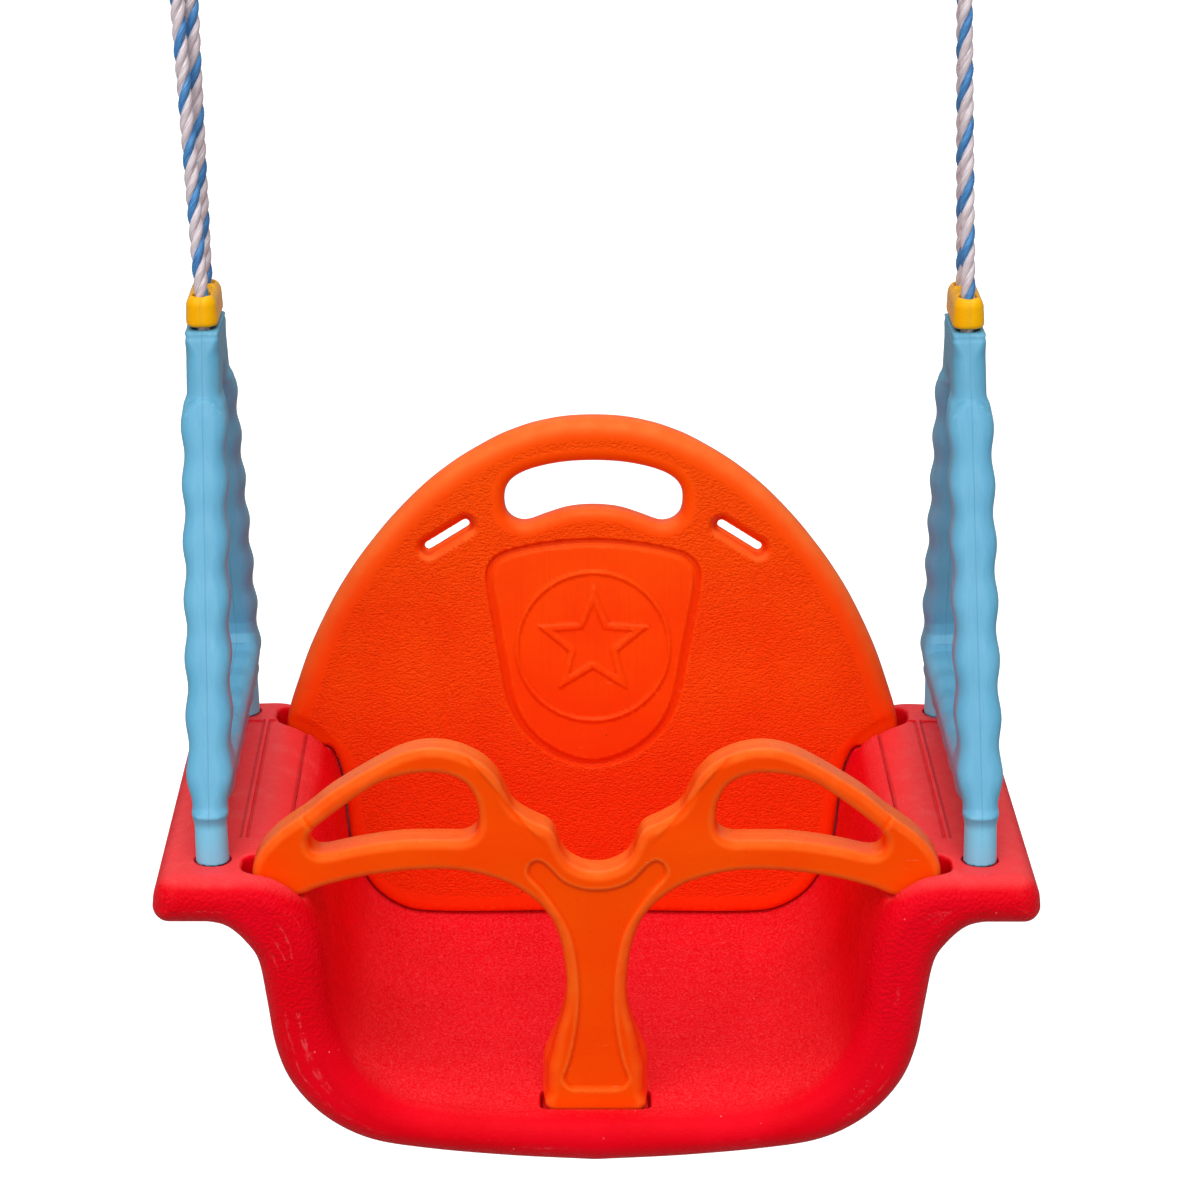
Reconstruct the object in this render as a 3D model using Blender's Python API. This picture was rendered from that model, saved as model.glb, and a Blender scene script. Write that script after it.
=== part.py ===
"""Toddler bucket swing, modelled in metres with +Z up and the front facing -Y.

The origin is the hanging point: the centre plane of the seat at the height of
the ropes' upper ends.  Everything below is laid out from the flange plane of
the seat (the flat top of its side flanges), which is HANG_DROP below the
origin, by parenting it to the empty "flange_plane".

Pieces: a blow moulded seat, a drop-in backrest, a drop-in front guard, two
hollow A-shaped side frames, two rope guides and two ropes, each of which runs
down one leg of a side frame, under the flange and back up the other leg.
"""
import math

import bpy
import bmesh
from mathutils import Matrix, Vector
from mathutils.geometry import tessellate_polygon

# ---------------------------------------------------------------- dimensions
HANG_DROP = 0.440          # flange plane below the hanging point
GAP = 0.0003               # running gap between neighbours

# seat
SEAT_HALF_DEPTH = 0.139    # along Y, over the rolled rims
RIM = 0.013                # radius of the rolled rims
FLANGE_TIP = 0.2205        # centre of the flange's rolled outer edge
FLANGE_T = 0.026
NOTCH_Y = 0.1115           # centre of the sockets in the flanges
NOTCH_W = 0.026
NOTCH_END = 0.187          # outboard end of the sockets
NOTCH_FLOOR = -0.0165

# backrest
BACK_T = 0.021
BACK_LEAN = math.radians(5.5)
BACK_FACE_Y = 0.100        # front face at the flange plane
BACK_LIFT = GAP

# front guard
GUARD_T = 0.021
GUARD_Y = -0.1115
GUARD_FOOT_Z = -0.1420

# side frames and ropes
FRAME_X = 0.203
FRAME_Y = 0.005
FRAME_LEAN = math.radians(-1.35)   # both frames lean a little to the left
FRAME_FOOT = 0.111                 # foot centres, from FRAME_Y
FRAME_TOP = 0.265
HEAD_HALF = 0.024
LEG_W = 0.0235                     # leg, along Y
LEG_SLOPE = 0.400                  # leg, dY/dZ
HEAD_T = 0.009                     # half thickness of the head along X
LEG_T = 0.0115                     # half thickness of the legs along X
WAVE = 0.0285                      # pitch of the grip waves
WAVE_A = 0.0010
ARCH_Z = 0.236
BAR_LOW, BAR_TOP = 0.024, 0.050
BORE_R = 0.006
ROPE_R = 0.004
HOLE_Y = 0.013                     # rope spacing in the guides, from FRAME_Y
GUIDE_H = 0.0175
GUIDE_HALF = (0.0085, 0.022)
HANG_Y = 0.0175                    # hinge line of the ropes, above the centre of mass
END_LEN = 0.012                    # fixed upper end of each rope strand
ROPE_TOP = {                       # centre of the two strands at the top, and front strand's offset
    "left": ((-0.2168, HANG_Y), (-0.0035, -0.0030)),
    "right": ((0.1912, HANG_Y), (0.0, -0.0045)),
}


# ---------------------------------------------------------------- helpers
def clear():
    for ob in list(bpy.data.objects):
        bpy.data.objects.remove(ob, do_unlink=True)


def material(name, rgb, rough, metal=0.0):
    m = bpy.data.materials.new(name)
    m.use_nodes = True
    b = m.node_tree.nodes["Principled BSDF"]
    b.inputs["Base Color"].default_value = (*rgb, 1.0)
    b.inputs["Roughness"].default_value = rough
    b.inputs["Metallic"].default_value = metal
    m.diffuse_color = (*rgb, 1.0)
    return m


def place(name, bm, mat=None, parent=None, sharp=38):
    me = bpy.data.meshes.new(name)
    bmesh.ops.recalc_face_normals(bm, faces=bm.faces)
    bm.to_mesh(me)
    bm.free()
    if mat:
        me.materials.append(mat)
    me.shade_smooth()
    me.set_sharp_from_angle(angle=math.radians(sharp))
    ob = bpy.data.objects.new(name, me)
    bpy.context.scene.collection.objects.link(ob)
    ob.parent = parent
    return ob


def empty(name, loc, parent=None, rot=(0, 0, 0)):
    e = bpy.data.objects.new(name, None)
    e.empty_display_size = 0.03
    e.location = loc
    e.rotation_euler = rot
    e.parent = parent
    bpy.context.scene.collection.objects.link(e)
    return e


def cut(ob, cutter, op="DIFFERENCE"):
    cutter.hide_render = True
    cutter.display_type = "WIRE"
    m = ob.modifiers.new(cutter.name, "BOOLEAN")
    m.operation = op
    m.solver = "EXACT"
    m.object = cutter
    return m


def mirror_outline(half):
    """Close a half outline, drawn from X = 0 back to X = 0, across X = 0."""
    return half + [(-x, z) for x, z in reversed(half) if x > 1e-6]


def area(loop):
    return 0.5 * sum(a[0] * b[1] - b[0] * a[1] for a, b in zip(loop, loop[1:] + loop[:1]))


def slab(loops, half_t, radii, steps=2):
    """Panel with rounded edges.  loops[0] is the outline, the rest are holes, as
    (u, v) points; radii gives each loop's edge radius.  half_t is the half
    thickness along w, a number or a function of (u, v).  Returns a bmesh in
    (u, w, v), that is with the panel facing along Y."""
    thick = half_t if callable(half_t) else (lambda u, v: half_t)
    bm = bmesh.new()
    ends = ([], [])
    for k, loop in enumerate(loops):
        if (area(loop) > 0) != (k == 0):
            loop = list(reversed(loop))
        n = len(loop)
        r = radii[k]
        rows = []
        for s in range(2 * steps + 2):
            a = math.pi / 2 * (s / steps if s <= steps else (2 * steps + 1 - s) / steps)
            inset, drop = r * (1 - math.sin(a)), r * (1 - math.cos(a))
            side = -1 if s <= steps else 1
            row = []
            for i, (u, v) in enumerate(loop):
                (u0, v0), (u1, v1) = loop[i - 1], loop[(i + 1) % n]
                d0 = Vector((u - u0, v - v0)).normalized()
                d1 = Vector((u1 - u, v1 - v)).normalized()
                m = Vector((d0.y + d1.y, -d0.x - d1.x)).normalized()
                m /= max(0.75, m.dot(Vector((d1.y, -d1.x))))
                p = Vector((u, v)) - m * inset
                w = side * (thick(u, v) - drop)
                row.append(bm.verts.new((p.x, w, p.y)))
            rows.append(row)
        for ra, rb in zip(rows, rows[1:]):
            for i in range(n):
                j = (i + 1) % n
                bm.faces.new((ra[i], ra[j], rb[j], rb[i]))
        ends[0].append(rows[0])
        ends[1].append(rows[-1])
    for rings in ends:
        flat = [v for ring in rings for v in ring]
        polys = [[Vector((v.co.x, v.co.z, 0)) for v in ring] for ring in rings]
        for tri in tessellate_polygon(polys):
            bm.faces.new([flat[i] for i in tri])
    return bm


def tube(path, radius, sides=8, radius_x=None):
    """Round bar along a path of points, capped flat at both ends."""
    bm = bmesh.new()
    rx = radius_x or radius
    pts = [Vector(p) for p in path]
    side = Vector((1, 0, 0))
    rings = []
    for i, p in enumerate(pts):
        t = (pts[min(i + 1, len(pts) - 1)] - pts[max(i - 1, 0)]).normalized()
        x = (side - t * side.dot(t)).normalized()
        y = t.cross(x)
        stretch = 1.0
        if 0 < i < len(pts) - 1:
            c = (pts[i + 1] - p).normalized().dot((p - pts[i - 1]).normalized())
            stretch = 1 / math.sqrt(max(0.5, (1 + c) / 2))
        ring = []
        for k in range(sides):
            a = 2 * math.pi * (k + 0.5) / sides
            ring.append(bm.verts.new(p + x * rx * math.cos(a) + y * radius * stretch * math.sin(a)))
        rings.append(ring)
    for ra, rb in zip(rings, rings[1:]):
        for k in range(sides):
            j = (k + 1) % sides
            bm.faces.new((ra[k], ra[j], rb[j], rb[k]))
    bm.faces.new(rings[0])
    bm.faces.new(rings[-1])
    return bm


def block(lo, hi, bevel=0.0, axis=2, segments=3):
    """Box between two corners, with the four edges along one axis rounded."""
    bm = bmesh.new()
    bmesh.ops.create_cube(bm, size=1.0)
    lo, hi = Vector(lo), Vector(hi)
    for v in bm.verts:
        v.co = Vector(lo[i] + (v.co[i] + 0.5) * (hi[i] - lo[i]) for i in range(3))
    if bevel:
        e = [e for e in bm.edges if abs((e.verts[0].co - e.verts[1].co).normalized()[axis]) > 0.9]
        bmesh.ops.bevel(bm, geom=e, offset=bevel, segments=segments, profile=0.5, affect="EDGES")
    return bm


def catmull(pts, per):
    """Points on a smooth curve through pts, per steps to each span."""
    P = [Vector(p) for p in pts]
    P = [P[0] * 2 - P[1]] + P + [P[-1] * 2 - P[-2]]
    out = []
    for i in range(1, len(P) - 2):
        for s in range(per):
            t = s / per
            a, b, c, d = P[i - 1:i + 3]
            out.append(0.5 * ((2 * b) + (c - a) * t + (2 * a - 5 * b + 4 * c - d) * t * t
                              + (3 * b - a - 3 * c + d) * t ** 3))
    out.append(P[-2])
    return out


# ---------------------------------------------------------------- seat
# Half sections of the moulded shell, centre to flange, in mm: the inner (upper)
# skin and the outer (lower) skin at the front rim and at the rear rim.
INNER_FRONT = [(0, -138), (45, -137.5), (85, -134), (108, -127), (125, -113.5), (135, -96),
               (140.5, -76), (143, -52), (146.5, -30), (154.5, -14), (167, -4), (180, 0),
               (199, 0), (220.5, 0)]
INNER_REAR = [(0, -112), (45, -113), (85, -114), (107.5, -113), (124.5, -104.5), (135, -91.5),
              (141.5, -75.5), (144.5, -53), (147.5, -30.5), (154.5, -15), (167, -5), (180, 0),
              (199, 0), (220.5, 0)]
OUTER_FRONT = [(0, -165), (46, -162.5), (92, -158), (122.5, -152), (146, -138.5), (162.5, -119),
               (170.5, -98), (174.5, -72), (178.5, -48.5), (185.5, -37), (194, -29), (202, -26.3),
               (210, -26), (220.5, -26)]
OUTER_REAR = [(0, -142), (46, -142.5), (92, -143.5), (122, -140.5), (144, -129), (159.5, -112),
              (168.5, -93), (173.5, -70), (178, -48.5), (185.5, -37), (194, -29), (202, -26.3),
              (210, -26), (220.5, -26)]


def seat_section(y):
    """Inner and outer half skins at depth y."""
    t = min(1.0, max(0.0, (y + 0.125) / 0.250)) ** 1.7
    mix = lambda a, b: [((1 - t) * p[0] + t * q[0], (1 - t) * p[1] + t * q[1]) for p, q in zip(a, b)]
    to_m = lambda half: [Vector((x / 1000, z / 1000)) for x, z in half]
    return (catmull(to_m(mix(INNER_FRONT, INNER_REAR)), 2),
            catmull(to_m(mix(OUTER_FRONT, OUTER_REAR)), 2))


def seat_mesh():
    bm = bmesh.new()
    thetas = [math.radians(a) for a in (8, 26, 46, 68, 90)]
    flat = SEAT_HALF_DEPTH - RIM
    stations = [(-flat - RIM * math.cos(a), math.sin(a)) for a in thetas]
    stations += [(-flat + 2 * flat * i / 4, 1.0) for i in range(1, 4)]
    stations += [(flat + RIM * math.cos(a), math.sin(a)) for a in reversed(thetas)]
    rings = []
    for y, k in stations:
        inner, outer = seat_section(y)
        mid = [(a + b) / 2 for a, b in zip(inner, outer)]
        half = [(a - b) / 2 * k for a, b in zip(inner, outer)]
        top = [m + h for m, h in zip(mid, half)]
        low = [m - h for m, h in zip(mid, half)]
        tip = [Vector((FLANGE_TIP + FLANGE_T / 2 * k * math.cos(a), -FLANGE_T / 2 + FLANGE_T / 2 * k * math.sin(a)))
               for a in (math.radians(45), 0, math.radians(-45))]
        right = top[1:] + tip + low[:0:-1]
        ring = [top[0]] + right + [low[0]] + [Vector((-p.x, p.y)) for p in reversed(right)]
        rings.append([bm.verts.new((p.x, y, p.y)) for p in ring])
    n = len(rings[0])
    for ra, rb in zip(rings, rings[1:]):
        for i in range(n):
            j = (i + 1) % n
            bm.faces.new((ra[i], ra[j], rb[j], rb[i]))
    for ring in (rings[0], rings[-1]):
        # the rolled rim closes along its crest: each upper point meets the lower one
        m = n // 2
        # ring[0] is the top centre and ring[m] the bottom centre; right side 1..m-1
        h = len(seat_section(0)[0]) - 1
        for s in (1, -1):
            topv = [ring[(s * i) % n] for i in range(h + 1)]
            lowv = [ring[(m - s * i) % n] for i in range(h + 1)]
            for i in range(h):
                bm.faces.new((topv[i], topv[i + 1], lowv[i + 1], lowv[i]))
            tips = [ring[(s * (h + 1 + i)) % n] for i in range(3)]
            bm.faces.new([topv[h]] + tips + [lowv[h]])
    return bm


# ---------------------------------------------------------------- outlines, in mm
DOME = [(0, 178.4), (17, 177.5), (33, 174.4), (45, 170.5), (56, 165.8), (72, 156.8), (85, 148.0),
        (96, 139.0), (105, 130.3), (113.7, 121.5), (122.2, 112.4), (135.2, 94.6), (147, 76.6),
        (156.6, 58.3), (164.7, 40.3), (171.2, 22), (176, 7), (178.3, -4), (177, -10.5), (172, -14.6),
        (165, -16), (154, -16.2), (150, -17.6)]
HAND_HOLE = [(0, 125.6), (14, 124.4), (26, 120.8), (37.5, 116.7), (44.6, 117.6), (49.8, 122.3),
             (51.2, 130), (49.7, 138), (44, 144), (33, 148.6), (17, 151.8), (0, 152.7)]
EMBLEM = [(0, 108.5), (28, 106.2), (49.5, 101.5), (58, 96.5), (62, 89.5), (62, 79.5), (58, 55),
          (54, 31.7), (49.5, 10), (39.5, -8.5), (22, -22.5), (0, -28.6)]
GUARD = [(0, -1.5), (7, -0.5), (14.5, 3.5), (19, 10), (22, 18), (26, 23), (35, 27.5), (43.5, 33.5),
         (48, 42), (52.5, 51), (60, 59), (70.5, 64.6), (81, 67.3), (91.5, 67.3), (102.5, 64.3),
         (113, 59), (124, 52.5), (140, 42), (151, 32.7), (160, 26.2), (168.5, 19.5), (176.5, 10.5),
         (180.7, 2), (181, -6), (177.5, -12.5), (170, -15.6), (161, -16), (153, -13.8), (145, -10.4),
         (125, -5), (103, -1.6), (81.5, -0.6), (65, -2.5), (49.5, -7.3), (40, -12.5), (30, -21),
         (23, -31), (19, -43), (16.8, -56), (16, -68.5), (17, -80), (20.2, -92.5), (24.5, -103),
         (28.2, -113), (28.7, -124), (28.7, -135), (26.5, -140), (21.5, -142), (0, -142)]
GUARD_LOOP = [(151.5, 15.5), (149, 21.5), (142, 27.5), (134.5, 33.5), (124, 41.2), (113, 48.2), (100, 52.4),
              (86, 53.5), (75.5, 51.5), (68, 46.3), (63.4, 37.5), (62, 27), (64, 20), (70.5, 16.4),
              (81.5, 16.3), (103, 15.9), (125, 12.6), (142, 8.8), (149, 9.8)]


def mm(points):
    return [(x / 1000, z / 1000) for x, z in points]


def slot_outline(cx, cz, length, width, angle, n=4):
    c, s, r = math.cos(angle), math.sin(angle), width / 2
    pts = []
    for side in (1, -1):
        for i in range(n + 1):
            a = -math.pi / 2 + math.pi * i / n
            u, v = side * ((length / 2 - r) + r * math.cos(a)), side * r * math.sin(a)
            pts.append((cx + u * c - v * s, cz + u * s + v * c))
    return pts


def backrest_outline():
    """Dome above the flanges, shoulders in the sockets, and below them the
    inside of the seat less a running gap."""
    y = BACK_FACE_Y + 0.008
    below = [p for p in reversed(seat_section(y)[0]) if p.y < -0.0200]
    low = []
    for i, p in enumerate(below):
        a, b = below[max(i - 1, 0)], below[min(i + 1, len(below) - 1)]
        t = (b - a).normalized()
        q = p + Vector((t.y, -t.x)) * 0.0022
        low.append((max(0.0, q.x), q.y + 0.0006))
    return mm(DOME) + low


# ---------------------------------------------------------------- side frame
def frame_outlines():
    """Side view of one frame, (Y, Z) from the frame's foot line."""
    front = lambda z: -HEAD_HALF - LEG_SLOPE * (FRAME_TOP - z)
    wave = lambda z, ph=0.0: WAVE_A * math.cos(2 * math.pi * ((0.216 - z) / WAVE + ph))
    zs = [0.216 - WAVE / 2 * i for i in range(14)]
    half = [(0.0, FRAME_TOP), (-HEAD_HALF + 0.004, FRAME_TOP), (-HEAD_HALF - 0.0006, FRAME_TOP - 0.003),
            (front(0.245), 0.245), (front(0.229) + 0.0005, 0.229)]
    half += [(front(z) - wave(z), z) for z in zs]
    foot = -FRAME_FOOT
    half += [(foot - 0.0085, 0.0245), (foot - 0.004, 0.0215), (foot + 0.004, 0.0215), (foot + 0.012, 0.0245)]
    n = 6
    half += [((foot + 0.014) * (1 - i / n), BAR_LOW + 0.0009 * (-1) ** i) for i in range(1, n)]
    outline = half + [(0.0, BAR_LOW + 0.0009)] + [(-y, z) for y, z in reversed(half) if y < -1e-6]
    inner = lambda z: front(z) + LEG_W
    hs = [z for z in zs if 0.062 < z < 0.217]
    hole = [(0.0, ARCH_Z), (-0.006, ARCH_Z - 0.003), (inner(0.226) + 0.0015, 0.224)]
    hole += [(inner(z) + wave(z), z) for z in hs]
    hole += [(inner(0.055) + 0.002, 0.056), (inner(0.052) + 0.010, BAR_TOP + 0.0005)]
    bar = [(-0.060 + 0.020 * i, BAR_TOP + 0.0009 * (-1) ** i) for i in range(4)]
    hole += bar
    hole = hole + [(-y, z) for y, z in reversed(hole) if y < -1e-6]
    return outline, hole


def frame_half_thickness(u, v):
    if v > 0.232:
        return HEAD_T
    if v > 0.222:
        return HEAD_T + (LEG_T - HEAD_T) * (0.232 - v) / 0.010
    return LEG_T + WAVE_A * math.cos(2 * math.pi * (0.216 - v) / WAVE)


def rope_path_in_frame(sign, z_from, z_to):
    """Centre line of a strand through the guide, leg and foot, in (Y, Z)."""
    pts = [(HOLE_Y, FRAME_TOP + GUIDE_H + 0.001), (HOLE_Y, FRAME_TOP - 0.002), (HOLE_Y + 0.0012, FRAME_TOP - 0.008)]
    top, low = (HOLE_Y + 0.0032, FRAME_TOP - 0.014), (FRAME_FOOT - 0.0062, 0.034)
    n = 4
    pts += [(top[0] + (low[0] - top[0]) * i / n, top[1] + (low[1] - top[1]) * i / n) for i in range(n + 1)]
    pts += [(FRAME_FOOT - 0.0022, 0.0235), (FRAME_FOOT - 0.0004, 0.0165), (FRAME_FOOT, 0.009)]
    pts = [(sign * y, z) for y, z in pts if z_to <= z <= z_from]
    return pts


def build_side(side, seat_ref, mats):
    s = -1 if side == "left" else 1
    lean = empty("lean_" + side, (s * FRAME_X, FRAME_Y, 0.0005), seat_ref, (0, FRAME_LEAN, 0))
    outline, hole = frame_outlines()
    bm = slab([outline, hole], frame_half_thickness, [0.0075, 0.0060], steps=2)
    bm.transform(Matrix.Rotation(math.pi / 2, 4, "Z"))
    frame = place("side_frame_" + side, bm, mats["frame_blue"], lean)
    for k, sign in (("front", -1), ("rear", 1)):
        neck = bmesh.new()
        bmesh.ops.create_cone(neck, cap_ends=True, segments=20, radius1=0.009, radius2=0.009, depth=0.034)
        bmesh.ops.translate(neck, verts=neck.verts, vec=(0, sign * FRAME_FOOT, 0.017))
        cut(frame, place(f"neck_{side}_{k}", neck, None, lean), "UNION")
    for k, sign in (("front", -1), ("rear", 1)):
        p = rope_path_in_frame(sign, 0.30, 0.0)
        path = [(0, p[0][0], FRAME_TOP + 0.01)] + [(0, y, z) for y, z in p[1:]] + [(0, p[-1][0], -0.01)]
        cut(frame, place(f"bore_{side}_{k}", tube(path, BORE_R, 10), None, lean))
    # rope guide: a rounded block with two rope holes, resting on the frame's head
    gx, gy = GUIDE_HALF
    pivot = empty("guide_seat_" + side, (0, 0, FRAME_TOP + GAP), lean)
    bm = block((-gx, -gy, 0), (gx, gy, GUIDE_H), 0.0055, 2, 3)
    tops = [e for e in bm.edges if abs(e.verts[0].co.z - e.verts[1].co.z) < 1e-6]
    bmesh.ops.bevel(bm, geom=tops, offset=0.0025, segments=2, profile=0.5, affect="EDGES")
    guide = place("rope_guide_" + side, bm, mats["guide_yellow"], pivot)
    for k, sign in (("front", -1), ("rear", 1)):
        o = slot_outline(0, sign * HOLE_Y, 0.013, 0.011, math.pi / 2, 6)
        bm = bmesh.new()
        lowr = [bm.verts.new((x, y, -0.01)) for x, y in o]
        topr = [bm.verts.new((x, y, 0.03)) for x, y in o]
        for i in range(len(o)):
            j = (i + 1) % len(o)
            bm.faces.new((lowr[i], lowr[j], topr[j], topr[i]))
        bm.faces.new(lowr)
        bm.faces.new(topr)
        cut(guide, place(f"guide_hole_{side}_{k}", bm, None, pivot))
    return lean


def strand_points(side, sign):
    """World-side points (from the flange plane) of one strand, top to foot."""
    s = -1 if side == "left" else 1
    (tx, ty), (ox, oy) = ROPE_TOP[side]
    top = Vector((tx - sign * ox, ty - sign * oy, HANG_DROP))
    lean = Matrix.Translation((s * FRAME_X, FRAME_Y, 0.0005)) @ Matrix.Rotation(FRAME_LEAN, 4, "Y")
    low = [lean @ Vector((0, y, z)) for y, z in rope_path_in_frame(sign, 0.30, 0.0)]
    return top, low


def build_rope(side, seat_ref, mats):
    s = -1 if side == "left" else 1
    strands = {}
    for name, sign in (("front", -1), ("rear", 1)):
        top, low = strand_points(side, sign)
        d = low[0] - top
        end = top + d * (END_LEN / -d.z)
        cut_z = top + d * ((END_LEN + GAP) / -d.z)
        strands[name] = [cut_z + (low[0] - cut_z) * i / 4 for i in range(4)] + low
        bm = tube([top, end], ROPE_R, 12)
        for v in bm.verts:      # the ends are cut level
            v.co.z = HANG_DROP if v.co.z > HANG_DROP - END_LEN / 2 else HANG_DROP - END_LEN
        place(f"rope_end_{side}_{name}", bm, mats["rope_fibre"], seat_ref)
    x = s * FRAME_X
    y0, y1 = FRAME_Y - FRAME_FOOT, FRAME_Y + FRAME_FOOT
    zb, r = -FLANGE_T - 0.0022 - ROPE_R, 0.010
    bend = []
    for i in range(5):
        a = math.pi / 2 * i / 4
        bend.append(Vector((x, y0 + r - r * math.cos(a), zb + r - r * math.sin(a))))
    under = [Vector((x, 0.5 * (y0 + y1), zb))]
    back = [Vector((x, y0 + y1 - p.y, p.z)) for p in reversed(bend)]
    path = strands["front"] + [Vector((x, y0, -0.004))] + bend + under + back + [Vector((x, y1, -0.004))]
    path += list(reversed(strands["rear"]))
    bm = tube(path, ROPE_R, 8)
    top_z = HANG_DROP - END_LEN - GAP
    for v in bm.verts:
        if v.co.z > top_z - 0.004:
            v.co.z = top_z
    place("rope_" + side, bm, mats["rope_fibre"], seat_ref)


# ---------------------------------------------------------------- assembly
def main():
    clear()
    mats = {
        "seat_red": material("seat_red", (0.74, 0.012, 0.022), 0.48),
        "backrest_orange": material("backrest_orange", (0.95, 0.075, 0.004), 0.45),
        "guard_orange": material("guard_orange", (0.95, 0.100, 0.004), 0.34),
        "frame_blue": material("frame_blue", (0.16, 0.50, 0.72), 0.38),
        "guide_yellow": material("guide_yellow", (0.98, 0.46, 0.01), 0.30),
        "rope_fibre": material("rope_fibre", (0.56, 0.56, 0.62), 0.55),
    }
    ref = empty("flange_plane", (0, 0, -HANG_DROP))

    # seat, with sockets for the guard's ears and the backrest's shoulders, four
    # rope holes through the flanges and a shallow pocket for the guard's post
    seat = place("seat", seat_mesh(), mats["seat_red"], ref)
    for side, s in (("left", -1), ("right", 1)):
        lo, hi = sorted((s * 0.100, s * NOTCH_END))
        bm = block((lo, -NOTCH_W / 2, NOTCH_FLOOR), (hi, NOTCH_W / 2, 0.03), 0.009, 2, 3)
        c = place(f"socket_front_{side}", bm, None, ref)
        c.location = (0, -NOTCH_Y, 0)
        cut(seat, c)
        bm = block((lo, -NOTCH_W / 2, NOTCH_FLOOR - 0.004), (hi, NOTCH_W / 2, 0.03), 0.009, 2, 3)
        c = place(f"socket_rear_{side}", bm, None, ref)
        c.location = (0, NOTCH_Y, 0)
        c.rotation_euler = (-BACK_LEAN, 0, 0)
        cut(seat, c)
        for k, sign in (("front", -1), ("rear", 1)):
            bm = bmesh.new()
            bmesh.ops.create_cone(bm, cap_ends=True, segments=16, radius1=BORE_R, radius2=BORE_R, depth=0.06)
            c = place(f"rope_hole_{side}_{k}", bm, None, ref)
            c.location = (s * FRAME_X, FRAME_Y + sign * FRAME_FOOT, -0.013)
            cut(seat, c)
    g = GUARD_T / 2 + 0.0006
    bm = block((-0.0293, GUARD_Y - g, GUARD_FOOT_Z - GAP), (0.0293, GUARD_Y + g, -0.09))
    cut(seat, place("post_pocket", bm, None, ref))

    # backrest, on an empty that carries its lean
    lean = empty("backrest_lean", (0, BACK_FACE_Y, BACK_LIFT), ref, (-BACK_LEAN, 0, 0))
    loops = [mirror_outline(backrest_outline()), mirror_outline(mm(HAND_HOLE))]
    loops += [slot_outline(s * 0.0842, 0.109, 0.0285, 0.0036, -s * math.radians(32)) for s in (-1, 1)]
    bm = slab(loops, BACK_T / 2, [0.006, 0.004, 0.0014, 0.0014])
    bmesh.ops.translate(bm, verts=bm.verts, vec=(0, BACK_T / 2, 0))
    back = place("backrest", bm, mats["backrest_orange"], lean)
    bm = slab([mirror_outline(mm(EMBLEM))], 0.002, [0.0005], 1)
    c = place("emblem_recess", bm, None, lean)
    c.location = (0, -0.0005, 0)
    cut(back, c)

    # front guard: two loop handles on a post that stands in the pan
    loop = mm(GUARD_LOOP)
    loops = [mirror_outline(mm(GUARD)), loop, [(-x, z) for x, z in reversed(loop)]]
    bm = slab(loops, GUARD_T / 2, [0.0045, 0.0045, 0.0045])
    guard = place("front_guard", bm, mats["guard_orange"], ref)
    guard.location = (0, GUARD_Y, 0)

    for side in ("left", "right"):
        build_side(side, ref, mats)
        build_rope(side, ref, mats)
    bpy.context.view_layer.update()


main()
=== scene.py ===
import math

import bpy
import numpy as np
from mathutils import Matrix, Vector


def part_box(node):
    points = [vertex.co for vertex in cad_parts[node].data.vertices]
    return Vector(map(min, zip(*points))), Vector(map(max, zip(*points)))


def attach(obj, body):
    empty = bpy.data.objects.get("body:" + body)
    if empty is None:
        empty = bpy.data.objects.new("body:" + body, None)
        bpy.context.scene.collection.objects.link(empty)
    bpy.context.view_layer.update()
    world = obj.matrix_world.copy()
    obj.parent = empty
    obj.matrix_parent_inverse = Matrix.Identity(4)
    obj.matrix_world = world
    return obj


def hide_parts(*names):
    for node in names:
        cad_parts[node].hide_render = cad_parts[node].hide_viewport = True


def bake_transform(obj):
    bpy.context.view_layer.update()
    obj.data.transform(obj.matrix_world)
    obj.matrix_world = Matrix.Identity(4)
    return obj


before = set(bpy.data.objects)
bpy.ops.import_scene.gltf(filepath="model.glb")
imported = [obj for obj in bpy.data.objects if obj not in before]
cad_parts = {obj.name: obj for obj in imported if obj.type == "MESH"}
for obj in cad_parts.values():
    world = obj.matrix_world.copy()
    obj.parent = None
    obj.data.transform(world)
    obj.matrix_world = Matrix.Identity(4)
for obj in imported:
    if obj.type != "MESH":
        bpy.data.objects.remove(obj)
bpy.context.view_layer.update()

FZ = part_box("seat")[1].z                    # flange plane of the seat

# ------------------------------------------------------------ shared sizes (m)
SEAT_HALF_DEPTH = 0.1387
RIM = 0.013
FLANGE_TIP, FLANGE_T = 0.2205, 0.026
NOTCH_Y, NOTCH_W, NOTCH_END, NOTCH_FLOOR = 0.1115, 0.026, 0.187, -0.0165
BACK_T, BACK_LEAN, BACK_FACE_Y = 0.021, math.radians(5.5), 0.100
GUARD_T, GUARD_Y, GUARD_FOOT = 0.021, -0.1115, -0.142
FRAME_X, FRAME_Y, FRAME_LEAN = 0.203, 0.005, math.radians(-1.35)
FRAME_FOOT, FRAME_TOP, HEAD_HALF = 0.111, 0.265, 0.024
LEG_W, LEG_SLOPE, HEAD_T, LEG_T = 0.0235, 0.400, 0.009, 0.0115
WAVE, WAVE_A, ARCH_Z = 0.0285, 0.00082, 0.236
BAR_LOW, BAR_TOP = 0.024, 0.050
BORE_R, ROPE_R, HOLE_Y, GUIDE_H = 0.006, 0.004, 0.013, 0.0175
GUIDE_HALF = (0.0085, 0.022)
HANG_Y = 0.0175
ROPE_TOP = {"left": ((-0.2168, HANG_Y), (-0.0035, -0.0030)),
            "right": ((0.1912, HANG_Y), (0.0, -0.0045))}


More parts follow.
